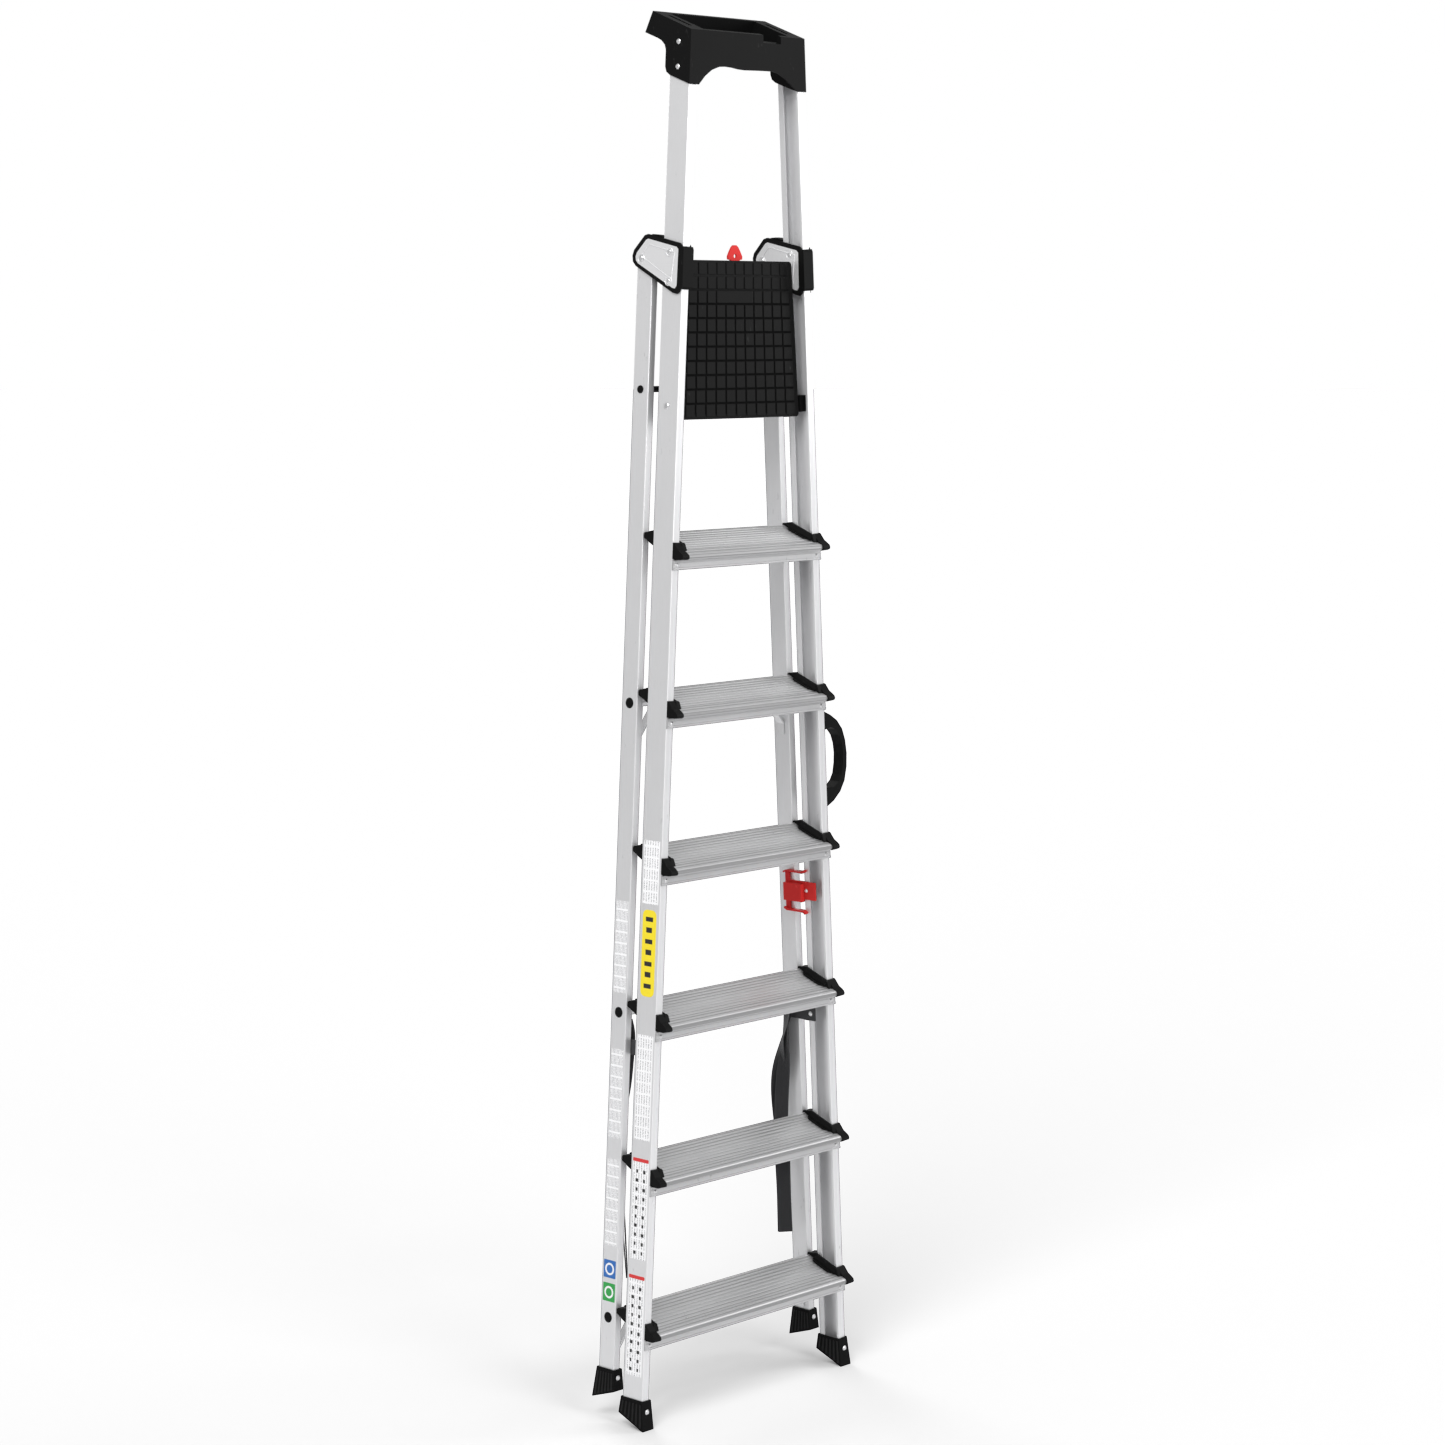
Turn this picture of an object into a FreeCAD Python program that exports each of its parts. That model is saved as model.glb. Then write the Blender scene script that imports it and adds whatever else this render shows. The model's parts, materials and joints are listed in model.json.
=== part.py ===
import FreeCAD, Part
import math
import os

import Sketcher
from FreeCAD import Placement, Rotation, Vector

# A folding platform step ladder, standing folded: millimetres, +Z up, the climbing side facing -Y.
# Until the last step every piece is drawn with the front rails' faces at y = 0 and the ladder's
# middle at x = 0.  node() then moves each finished piece by the shifts that centre the box.

os.makedirs("parts", exist_ok=True)
doc = FreeCAD.newDocument("StepLadder")

# ---------------------------------------------------------------- driving dimensions
DIMENSIONS = [
    ("shift_x", -2.1, "centres the box: the carry handle stands out on the right"),
    ("shift_y", -45.8, "centres the box front to back"),
    ("lean", 20.6, "tilt of treads and soles, degrees: level once the ladder is open"),
    ("floor_half_width", 264.3, "outer face of a rail from the middle, at the floor"),
    ("side_taper", 0.0538, "inward lean of each rail, per millimetre of height"),
    ("rail_depth", 46.5, "front rail, front to back"),
    ("rail_face", 16.3, "front rail, side to side"),
    ("rail_wall", 1.8, "front rail wall"),
    ("rail_bottom", 25.0, "height of the front rails' lower ends"),
    ("rail_top", 2352.0, "height of the front rails' upper ends"),
    ("rear_rail_front", 72.0, "front face of the rear rails"),
    ("rear_rail_depth", 35.6, "rear rail, front to back"),
    ("rear_rail_face", 14.6, "rear rail, side to side"),
    ("rear_rail_inset", 0.8, "rear rail's outer face inside the front rail's"),
    ("rear_rail_wall", 1.6, "rear rail wall"),
    ("rear_rail_bottom", 62.0, "height of the rear rails' lower ends"),
    ("rear_rail_top", 2002.0, "height of the rear rails' upper ends"),
    ("tread_first", 173.9, "height of tread 1's top where it meets the rails' front plane"),
    ("tread_pitch", 266.0, "tread spacing along the rails, 249 mm of height once open"),
    ("tread_reach", 68.6, "tread top behind the rails' front plane, along its slope"),
    ("tread_nose", 26.0, "tread top ahead of that plane, along its slope"),
    ("tread_wall", 2.0, "tread plate and lip thickness"),
    ("rib_pitch", 8.6, "spacing of the ribs across a tread"),
    ("rib_width", 5.0, "width of one rib"),
    ("pivot_y", 94.0, "fold pivot, behind the rails' front plane"),
    ("pivot_height", 1988.3, "fold pivot above the floor"),
    ("pivot_radius", 4.0, "fold and platform pins"),
    ("running_gap", 0.06, "radial clearance of a pin in its hole"),
    ("deck_pivot_y", 26.0, "platform pivot, behind the rails' front plane"),
    ("deck_pivot_height", 1742.0, "platform pivot above the floor"),
    ("deck_length", 266.5, "platform, front edge to rear edge"),
    ("deck_ahead", 23.0, "platform ahead of its pivot"),
    ("deck_top", 10.5, "platform tread surface above its pivot's axis"),
    ("deck_plate", 7.5, "platform plate thickness"),
    ("deck_front_half", 147.2, "platform half width at the front edge"),
    ("deck_rear_half", 132.4, "platform half width at the rear edge"),
    ("deck_tilt", 1.2, "folded platform's lean backwards, degrees"),
    ("rest_bar_height", 1769.4, "bar that carries the open platform"),
    ("rest_bar_radius", 5.0, "radius of that bar"),
    ("bar_spacing", 530.1, "spacing of the rear section's cross bars"),
    ("bar_y", 89.8, "cross bars, behind the rails' front plane"),
    ("bar_radius", 8.0, "cross bar tube"),
    ("strap_width", 25.0, "webbing width"),
    ("strap_thick", 1.6, "webbing thickness"),
    ("strap_front_y", 96.0, "bend of the strap's front half"),
    ("strap_front_height", 650.0, "bend of the strap's front half"),
    ("strap_front_length", 410.0, "strap's front half"),
    ("strap_rear_y", 90.0, "strap rivet on the rear rail"),
    ("strap_rear_height", 685.0, "strap rivet on the rear rail"),
    ("strap_rear_length", 445.0, "strap's rear half"),
    ("rivet_radius", 2.5, "shank of a rivet"),
    ("hole_radius", 3.0, "drilled hole for a rivet"),
    ("pin_hole_radius", 4.4, "hole for a fold or platform pin where the pin stays fixed"),
]

sheet = doc.addObject("Spreadsheet::Sheet", "Dim")
for row, (alias, value, meaning) in enumerate(DIMENSIONS, start=1):
    sheet.set("A%d" % row, alias)
    sheet.set("B%d" % row, str(value))
    sheet.set("C%d" % row, meaning)
    sheet.setAlias("B%d" % row, alias)
doc.recompute()
D = {alias: value for alias, value, meaning in DIMENSIONS}

LEAN = D["lean"]
TAPER = math.degrees(math.atan(D["side_taper"]))
TREADS = 6
CROSS_BARS = 3


def half_width(height):
    """Outer face of a rail from the middle, at a height."""
    return D["floor_half_width"] - D["side_taper"] * height


# ---------------------------------------------------------------- local frames
def at(x=0.0, y=0.0, z=0.0):
    return Placement(Vector(x, y, z), Rotation())


def turned(axis, degrees):
    return Placement(Vector(), Rotation(axis, degrees))


X_AXIS, Y_AXIS, Z_AXIS = Vector(1, 0, 0), Vector(0, 1, 0), Vector(0, 0, 1)
SIDE_VIEW = Placement(Vector(), Rotation(Vector(1, 1, 1), 120))    # outline in y and z, grows to +X
FRONT_VIEW = turned(X_AXIS, 90)                                    # outline in x and z, grows to -Y
PLAN_VIEW = Placement()                                            # outline in x and y, grows to +Z


def right_side(height, y=0.0):
    """Frame on the right rail's outer face: x outwards, z along the rail."""
    return at(half_width(height), y, height) * turned(Y_AXIS, -TAPER)


def tread_frame(height):
    """Frame on a tread's top at the rails' front plane: y back along the slope, z off the top."""
    return at(0, 0, height) * turned(X_AXIS, LEAN)


def deck_frame():
    """Frame on the folded platform's pivot: y towards its rear edge, z off its tread surface."""
    pivot = at(0, D["deck_pivot_y"], D["deck_pivot_height"])
    return pivot * turned(X_AXIS, 90 - D["deck_tilt"])


# ---------------------------------------------------------------- building blocks
def outline(name, place, points):
    """A closed sketch through points, each coordinate a number or an expression."""
    sketch = doc.addObject("Sketcher::SketchObject", name)
    sketch.Placement = place
    count = len(points)
    spots = []
    for i in range(count):
        turn = 2 * math.pi * i / count
        spots.append(Vector(40 * math.cos(turn), 40 * math.sin(turn), 0))
    sketch.addGeometry([Part.LineSegment(spots[i], spots[(i + 1) % count]) for i in range(count)])
    constraints = []
    expressions = []
    for i, point in enumerate(points):
        constraints.append(Sketcher.Constraint("Coincident", i, 2, (i + 1) % count, 1))
        for kind, value, spot in (("DistanceX", point[0], spots[i].x), ("DistanceY", point[1], spots[i].y)):
            if isinstance(value, str):
                expressions.append((len(constraints), value))
                value = spot
            constraints.append(Sketcher.Constraint(kind, -1, 1, i, 1, float(value)))
    sketch.addConstraint(constraints)
    for index, expression in expressions:
        sketch.setExpression("Constraints[%d]" % index, expression)
    return sketch


def prism(name, place, points, length, back=False):
    """An outline grown along its frame's z, or against it."""
    solid = doc.addObject("Part::Extrusion", name)
    solid.Base = outline(name + "_outline", place, points)
    solid.DirMode = "Normal"
    solid.Solid = True
    grown, other = ("LengthRev", "LengthFwd") if back else ("LengthFwd", "LengthRev")
    setattr(solid, other, 0)
    if isinstance(length, str):
        solid.setExpression(grown, length)
    else:
        setattr(solid, grown, length)
    return solid


def side_plate(name, place, points, off_from, off_to):
    """An outline in y and z, from one x to another in its frame."""
    return prism(name, place * at(off_from) * SIDE_VIEW, points, off_to - off_from)


def cylinder(name, place, radius, length):
    """A cylinder along its frame's z."""
    rod = doc.addObject("Part::Cylinder", name)
    rod.Placement = place
    for prop, value in (("Radius", radius), ("Height", length)):
        if isinstance(value, str):
            rod.setExpression(prop, value)
        else:
            setattr(rod, prop, value)
    return rod


def across(place, x_from):
    """A frame whose z runs along +X, starting at an x."""
    return place * at(x_from) * turned(Y_AXIS, 90)


def cone(name, place, wide, narrow, height):
    head = doc.addObject("Part::Cone", name)
    head.Placement = place
    head.Radius1, head.Radius2, head.Height = wide, narrow, height
    return head


def fuse(name, shapes):
    joined = doc.addObject("Part::MultiFuse", name)
    joined.Shapes = shapes
    joined.Refine = True
    return joined


def cut(name, base, tools):
    removed = doc.addObject("Part::Cut", name)
    removed.Base = base
    removed.Tool = tools[0] if len(tools) == 1 else group(name + "_tools", tools)
    return removed


def common(name, first, second):
    shared = doc.addObject("Part::Common", name)
    shared.Base, shared.Tool = first, second
    return shared


def group(name, members):
    """Separate solids kept together."""
    gathered = doc.addObject("Part::Compound", name)
    gathered.Links = members
    return gathered


def moved(name, source, place):
    copy = group(name, [source])
    copy.Placement = place
    return copy


def mirrored(name, source):
    """The left-hand twin of a right-hand piece."""
    twin = doc.addObject("Part::Mirroring", name)
    twin.Source = source
    twin.Base, twin.Normal = Vector(), X_AXIS
    return twin


def rounded(name, base, radius, direction, wanted):
    """Fillets the straight edges along a direction whose middle passes wanted()."""
    doc.recompute()
    chosen = []
    for number, edge in enumerate(base.Shape.Edges, start=1):
        if not isinstance(edge.Curve, Part.Line):
            continue
        along = abs(edge.tangentAt(edge.FirstParameter).dot(direction.normalize()))
        middle = edge.valueAt((edge.FirstParameter + edge.LastParameter) / 2)
        if along > 0.999 and wanted(middle, edge.Length):
            chosen.append((number, radius, radius))
    fillet = doc.addObject("Part::Fillet", name)
    fillet.Base = base
    fillet.Edges = chosen
    return fillet


NODES = []


def node(name, source):
    """A finished sub-part, moved to its place and kept for export."""
    piece = group(name, [source])
    piece.Label = name
    piece.setExpression("Placement.Base.x", "Dim.shift_x")
    piece.setExpression("Placement.Base.y", "Dim.shift_y")
    NODES.append(piece)
    return piece


def both_sides(name, source):
    """A right-hand piece and its left-hand twin, as two nodes."""
    node(name + "_right", source)
    node(name + "_left", mirrored(name + "_left_shape", source))


# ---------------------------------------------------------------- rivets
def rivet(name, place, grip, head=4.6, tail=3.6):
    """A rivet along its frame's z: domed head at the start, formed tail past the grip."""
    shank = cylinder(name + "_shank", place, "Dim.rivet_radius", grip)
    dome = cone(name + "_head", place * turned(X_AXIS, 180), head, head * 0.62, 1.7)
    formed = cone(name + "_tail", place * at(0, 0, grip), tail, tail * 0.8, 1.4)
    return fuse(name, [shank, dome, formed])


def hole(name, place, length):
    return cylinder(name, place, "Dim.hole_radius", length)


# ---------------------------------------------------------------- rails
def front_rail():
    """Open channel: outer web, flanges turned in, a long lip behind and a short one in front."""
    base = at(half_width(D["rail_bottom"]), 0, D["rail_bottom"])
    face, depth, wall = "-Dim.rail_face", "Dim.rail_depth", "Dim.rail_wall"
    section = [
        (0, 0), (0, depth), (face, depth), (face, depth + " - 12"),
        (face + " + " + wall, depth + " - 12"), (face + " + " + wall, depth + " - " + wall),
        ("-" + wall, depth + " - " + wall), ("-" + wall, wall), (face + " + " + wall, wall),
        (face + " + " + wall, 5), (face, 5), (face, 0),
    ]
    rail = doc.addObject("Part::Extrusion", "front_rail_bar")
    rail.Base = outline("front_rail_section", base, section)
    rail.DirMode = "Custom"
    rail.Dir = Vector(-D["side_taper"], 0, 1)
    rail.Solid = True
    rail.setExpression("LengthFwd", "(Dim.rail_top - Dim.rail_bottom) * sqrt(1 + Dim.side_taper^2)")
    outer = D["rail_depth"]
    return rounded("front_rail_soft", rail, 1.6, Vector(-D["side_taper"], 0, 1),
                   lambda p, size: size > 1000 and (p.y < 0.1 or p.y > outer - 0.1))


def rear_rail():
    """Closed box tube with its upper end cut square."""
    base = at(half_width(D["rear_rail_bottom"]) - D["rear_rail_inset"], D["rear_rail_front"],
              D["rear_rail_bottom"])
    face, depth, wall = "-Dim.rear_rail_face", "Dim.rear_rail_depth", "Dim.rear_rail_wall"
    length = "(Dim.rear_rail_top - Dim.rear_rail_bottom) * sqrt(1 + Dim.side_taper^2)"
    bars = []
    shapes = (("outside", (0, 0), (0, depth), (face, depth), (face, 0)),
              ("hollow", ("-" + wall, wall), ("-" + wall, depth + " - " + wall),
               (face + " + " + wall, depth + " - " + wall), (face + " + " + wall, wall)))
    for label, *corners in shapes:
        bar = doc.addObject("Part::Extrusion", "rear_rail_" + label)
        bar.Base = outline("rear_rail_%s_section" % label, base, corners)
        bar.DirMode = "Custom"
        bar.Dir = Vector(-D["side_taper"], 0, 1)
        bar.Solid = True
        bar.setExpression("LengthFwd", length)
        bars.append(bar)
    soft = rounded("rear_rail_soft", bars[0], 1.6, Vector(-D["side_taper"], 0, 1),
                   lambda p, size: size > 1000)
    return cut("rear_rail_tube", soft, [bars[1]])


# ---------------------------------------------------------------- treads
def wedge_between_rails(name, inset):
    """The whole space between planes set in from the rails' outer faces, to trim tread ends."""
    low, high = 60, 2000
    wide, narrow = half_width(low) - inset, half_width(high) - inset
    corners = [(-wide, low), (wide, low), (narrow, high), (-narrow, high)]
    return prism(name, at(0, 200, 0) * FRONT_VIEW, corners, 400)


def tread_masters():
    """Tread 1's three stretches, each too long until trimmed: deck, nosing and skirt."""
    place = tread_frame(D["tread_first"]) * at(-300) * SIDE_VIEW
    wall = D["tread_wall"]
    ribs = int((D["tread_reach"] + 1) // D["rib_pitch"])
    top = [(-1.0, -1.0)]
    for i in range(ribs):
        near = 1.2 + i * D["rib_pitch"]
        far = near + D["rib_width"]
        top += [(near, -1.0), (near + 0.4, 0), (far - 0.4, 0), (far, -1.0)]
    top = top[:-1]
    rear = D["tread_reach"]
    deck = top + [
        (rear - 1.0, 0), (rear, -1.0), (rear, -14), (rear - 5, -14), (rear - 5, -12.5),
        (rear - wall, -12.5), (rear - wall, -3), (32, -3), (32, -12), (30, -12), (30, -3), (-1.0, -3),
    ]
    nose = D["tread_nose"]
    nosing = [
        (-1.0, -1.0), (-3.6, -1.0), (-4.0, 0), (-9.0, 0), (-9.4, -1.0), (-12.0, -1.0), (-12.4, 0),
        (5.0 - nose, 0), (1.5 - nose, -1.5), (-nose, -4.5), (0.5 - nose, -8.0), (3.5 - nose, -10.8),
        (-18.0, -12.0), (-9.5, -17.6), (-8.2, -15.9), (-17.3, -10.0), (4.5 - nose, -9.0),
        (2.2 - nose, -7.0), (2.0 - nose, -4.8), (3.0 - nose, -2.8), (5.4 - nose, -2.0),
        (-14.0, -2.0), (-12.0, -3.0), (-1.0, -3.0),
    ]
    upright = at(-300, 0, D["tread_first"]) * SIDE_VIEW
    skirt = [
        (0, -17.0), (-2.2, -17.0), (-3.0, -19.0), (-3.0, -22.4), (-2.4, -22.8), (-2.4, -23.4),
        (-3.0, -23.8), (-3.0, -31.0), (-3.8, -31.6), (-3.8, -34.2), (-3.0, -35.0), (0, -35.0),
    ]
    return [prism("tread_deck", place, deck, 600), prism("tread_nosing", place, nosing, 600),
            prism("tread_skirt", upright, skirt, 600)]


def build_treads():
    masters = tread_masters()
    trims = [wedge_between_rails("trim_deck", 20.2), wedge_between_rails("trim_nosing", 16.0),
             wedge_between_rails("trim_skirt", 0.3)]
    holes = []
    rivets = []
    for i in range(TREADS):
        height = D["tread_first"] + i * D["tread_pitch"]
        spot = right_side(height - 27.0, -3.0) * at(-11.0) * turned(X_AXIS, -90)
        right = rivet("tread_rivet_%d" % (i + 1), spot, 3.0 + D["rail_wall"], 3.6)
        rivets += [right, mirrored("tread_rivet_left_%d" % (i + 1), right)]
        bore = hole("tread_bore_%d" % (i + 1), spot, 3.0 + D["rail_wall"])
        holes += [bore, mirrored("tread_bore_left_%d" % (i + 1), bore)]
    for i in range(TREADS):
        stretches = []
        for master, trim, label in zip(masters, trims, ("deck", "nosing", "skirt")):
            name = "tread_%d_%s" % (i + 1, label)
            lifted = moved(name + "_long", master, at(0, 0, i * D["tread_pitch"]))
            lifted.setExpression("Placement.Base.z", "%d * Dim.tread_pitch" % i)
            stretches.append(common(name, lifted, trim))
        whole = fuse("tread_%d_solid" % (i + 1), stretches)
        bores = holes[2 * i:2 * i + 2]
        node("tread_%d" % (i + 1), cut("tread_%d_drilled" % (i + 1), whole, bores))
    node("tread_rivets", group("tread_rivet_set", rivets))
    return holes


def tread_cap():
    """Moulded end of tread 1: wall against the rail, ridge, pad, nose end and rear buffer."""
    height = D["tread_first"]
    side = right_side(height)
    sloped = side * turned(X_AXIS, LEAN)
    level = at(half_width(height), 0, height) * turned(X_AXIS, LEAN)
    wall = side_plate("cap_wall", sloped, [
        (-0.8, 0.3), (-0.8, 9.6), (0.5, 10.5), (54.0, 11.5), (72.0, 3.0), (70.8, -8.0), (45.5, -12.5),
        (0.5, -12.5)], -20.0, -16.5)
    buffer = side_plate("cap_buffer", side, [
        (46.9, 29.5), (67.0, 26.0), (69.0, 24.0), (69.0, 16.5), (46.9, 5.0)], -16.6, -0.4)
    ridge = prism("cap_ridge", level * at(0, 52.0, 0) * FRONT_VIEW, [
        (-19.9, 0.1), (-19.9, 10.6), (-22.0, 10.6), (-26.0, 3.0), (-26.0, 0.1)], 54.0)
    pad = prism("cap_pad", level * at(0, 0, 0.1), [
        (-19.9, 54.0), (-27.0, 53.0), (-33.0, 46.0), (-34.0, 38.0), (-34.0, 10.0), (-31.0, 4.0),
        (-27.0, 0.0), (-23.0, -6.0), (-19.9, -9.0)], 2.6)
    nose = side_plate("cap_nose", side, [
        (-0.2, 11.3), (-3.5, 10.8), (-12.5, -1.0), (-20.0, -5.6), (-24.2, -8.8), (-25.4, -12.5),
        (-24.4, -15.2), (-20.0, -17.0), (-4.0, -17.2), (-3.6, -15.9), (-0.2, -15.9)], -15.8, 0.4)
    bridge = side_plate("cap_bridge", level, [
        (0.6, 0.1), (0.6, 10.5), (-3.0, 10.0), (-10.5, 1.5), (-10.5, 0.1)], -24.0, -15.7)
    return fuse("tread_cap_shape", [wall, buffer, ridge, pad, nose, bridge])


def build_caps():
    master = tread_cap()
    for i in range(TREADS):
        rise = i * D["tread_pitch"]
        right = master
        if i:
            right = moved("cap_right_%d_shape" % (i + 1), master, at(-rise * D["side_taper"], 0, rise))
            right.setExpression("Placement.Base.x", "-%d * Dim.tread_pitch * Dim.side_taper" % i)
            right.setExpression("Placement.Base.z", "%d * Dim.tread_pitch" % i)
        node("tread_cap_right_%d" % (i + 1), right)
        node("tread_cap_left_%d" % (i + 1), mirrored("cap_left_%d_shape" % (i + 1), right))


# ---------------------------------------------------------------- hinges
HINGE = [(1.5, 20.5), (6.0, 24.5), (80.0, 40.5), (88.0, 38.5), (112.0, 14.5), (115.5, 5.0),
         (114.0, -5.0), (107.0, -12.5), (18.0, -58.0), (9.0, -60.0), (3.0, -56.0)]
HINGE_PLATE = [(8.0, 14.0), (12.0, 18.0), (79.0, 32.6), (84.0, 31.0), (105.0, 10.0), (107.8, 3.0),
               (106.5, -3.5), (102.0, -8.0), (19.0, -50.0), (13.0, -51.0), (9.0, -46.0)]
HINGE_RIVETS = [(29.0, 10.1), (28.8, -38.2)]


def build_hinges():
    place = right_side(D["pivot_height"])
    outer = side_plate("hinge_outer_cheek", place, HINGE, 0.3, 3.9)
    inner = side_plate("hinge_inner_cheek", place, HINGE, -20.4, -16.6)
    block = side_plate("hinge_block", place, [
        (-4.5, -48.0), (-4.5, 14.0), (-2.5, 19.0), (-0.2, 19.0), (-0.2, -52.0), (-2.5, -52.0)],
        -20.4, 3.9)
    lugs = [side_plate("hinge_lug_%d" % i, place, [
        (-0.3, -52.0), (-0.3, 19.0), (9.0, 19.0), (9.0, -52.0)], low, high)
        for i, (low, high) in enumerate(((0.3, 3.9), (-20.4, -16.6)))]
    roof = side_plate("hinge_roof", place, [
        (50.0, 29.0), (50.0, 36.5), (58.0, 39.5), (72.0, 40.5), (80.0, 38.5), (80.0, 33.0)], -16.7, 0.4)
    body = fuse("hinge_body", [outer, inner, block, roof] + lugs)
    pockets = [side_plate("hinge_pocket_outer", place, HINGE_PLATE, 2.7, 5.0),
               side_plate("hinge_pocket_inner", place, HINGE_PLATE, -22.0, -19.2)]
    bores = []
    pins = []
    for i, (y, z) in enumerate(HINGE_RIVETS):
        spot = across(place * at(0, y, z), 3.9) * turned(X_AXIS, 180)
        pins.append(rivet("hinge_rivet_%d" % i, spot, 24.3, 4.2, 4.2))
        bores.append(hole("hinge_bore_%d" % i, spot, 24.3))
    axis = at(half_width(D["pivot_height"]) - 20.4, D["pivot_y"], D["pivot_height"]) * turned(Y_AXIS, 90)
    tilt_room = 0.5
    shank = cylinder("fold_pin_shank", axis * at(0, 0, -tilt_room), "Dim.pivot_radius",
                     24.3 + 2 * tilt_room)
    heads = [cone("fold_pin_head", axis * at(0, 0, 24.3 + tilt_room), 6.0, 4.2, 1.8),
             cone("fold_pin_tail", axis * at(0, 0, -tilt_room) * turned(X_AXIS, 180), 6.0, 4.2, 1.8)]
    fold_pin = fuse("fold_pin_shape", [shank] + heads)
    fold_bore = cylinder("fold_pin_bore", axis * at(0, 0, -1), "Dim.pin_hole_radius", 26.3)
    both_sides("hinge_housing", cut("hinge_housing_shape", body, pockets + bores + [fold_bore]))

    face = [side_plate("hinge_face_outer", place, HINGE_PLATE, 2.75, 3.9),
            side_plate("hinge_face_inner", place, HINGE_PLATE, -20.4, -19.25)]
    panel = [(16.0, 9.0), (77.0, 24.0), (96.0, 4.0), (22.0, -36.0)]
    for label, plate, low, high in (("outer", face[0], 3.5, 5.0), ("inner", face[1], -22.0, -20.0)):
        dish = side_plate("hinge_dish_" + label, place, panel, low, high)
        pierced = cut("hinge_cover_%s_shape" % label, plate, [dish] + bores + [fold_bore])
        both_sides("hinge_cover_" + label, pierced)
    right = group("hinge_rivets_right", pins)
    node("hinge_rivets", group("hinge_rivet_set", [right, mirrored("hinge_rivets_left", right)]))
    node("fold_pins", group("fold_pin_set", [fold_pin, mirrored("fold_pin_left", fold_pin)]))
    return bores, axis


# ---------------------------------------------------------------- tool tray
TRAY_SIDE = [(-2.5, 2274.0), (-2.5, 2364.0), (88.5, 2399.0), (104.8, 2364.4), (74.0, 2353.0),
             (66.0, 2349.0), (58.0, 2341.5), (55.0, 2333.0), (55.1, 2305.0), (52.0, 2296.5),
             (44.0, 2291.0)]
TRAY_RIVETS = [(26.0, 2345.0), (26.0, 2303.7)]


def build_tray(rail_space):
    width = 300.0
    whole = prism("tray_block", at(-width / 2) * SIDE_VIEW, TRAY_SIDE, width)
    high, low = 2410.0, 2265.0
    sides = [(-half_width(low) - 2.6, low), (half_width(low) + 2.6, low),
             (half_width(high) + 2.6, high), (-half_width(high) - 2.6, high)]
    shaped = common("tray_tapered", whole, prism("tray_sides", at(0, 200, 0) * FRONT_VIEW, sides, 400))
    arch = [(-121.0, 2260.0), (-121.0, 2274.5), (-106.0, 2289.0), (-90.0, 2299.5), (-72.0, 2305.5),
            (-56.0, 2306.6), (-40.0, 2305.8), (-24.0, 2303.8), (-8.0, 2303.2), (25.0, 2304.2),
            (44.0, 2304.6), (60.0, 2304.6), (74.0, 2302.0), (90.0, 2295.0), (106.0, 2285.0),
            (121.0, 2274.5), (121.0, 2260.0)]
    window = prism("tray_arch", at(0, 200, 0) * FRONT_VIEW, arch, 400)
    under = prism("tray_under", at(0, 200, 0) * FRONT_VIEW, [
        (-119.0, 2250.0), (-115.0, 2322.0), (115.0, 2322.0), (119.0, 2250.0)], 199.5)
    top = at(0, -2.5, 2364.0) * turned(X_AXIS, 20.9)
    bin_low = prism("tray_bin", top * at(0, 0, -30.0), [
        (-104.0, 7.0), (104.0, 7.0), (104.0, 90.0), (-104.0, 90.0)], 60)
    slots = [prism("tray_slot_%d" % i, top * at(0, 0, -8.0), [
        (x - 4.0, 22.0), (x + 4.0, 22.0), (x + 4.0, 76.0), (x - 4.0, 76.0)], 30)
        for i, x in enumerate((-119.0, 119.0))]
    notch = prism("tray_notch", top * at(0, 0, -12.0), [
        (36.0, -5.0), (80.0, -5.0), (80.0, 10.0), (36.0, 10.0)], 30)
    spots = [across(right_side(z, y), 2.7) * turned(X_AXIS, 180) for y, z in TRAY_RIVETS]
    grip = 2.7 + D["rail_wall"]
    rivets = [rivet("tray_rivet_%d" % i, spot, grip) for i, spot in enumerate(spots)]
    bores = [hole("tray_bore_%d" % i, spot, grip) for i, spot in enumerate(spots)]
    right = group("tray_bores", bores)
    tools = [window, under, bin_low, notch, rail_space, mirrored("tray_rail_left", rail_space),
             right, mirrored("tray_bores_left", right)] + slots
    node("tool_tray", cut("tool_tray_shape", shaped, tools))
    pins = group("tray_rivets_right", rivets)
    node("tray_rivets", group("tray_rivet_set", [pins, mirrored("tray_rivets_left", pins)]))
    return bores


# ---------------------------------------------------------------- feet
def foot(name, front, rail, top, height, toe, heel, toe_height, slope):
    """A flared boot round a rail's end, cut off by a sloped sole."""
    upper = outline(name + "_upper", right_side(top), [
        (2.0, front - 2.2), (2.0, rail + 2.0), (-18.5, rail + 2.0), (-18.5, front - 2.2)])
    lower = outline(name + "_lower", right_side(height), [
        (4.0, toe), (4.0, heel), (-22.5, heel), (-22.5, toe)])
    boot = doc.addObject("Part::Loft", name + "_boot")
    boot.Sections = [lower, upper]
    boot.Solid = True
    boot.Ruled = True
    sole = at(-400, toe, toe_height) * turned(X_AXIS, slope)
    below = prism(name + "_sole", sole * SIDE_VIEW, [(-90, 0), (200, 0), (200, -200), (-90, -200)], 800)
    return cut(name + "_shape", boot, [below])


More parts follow.
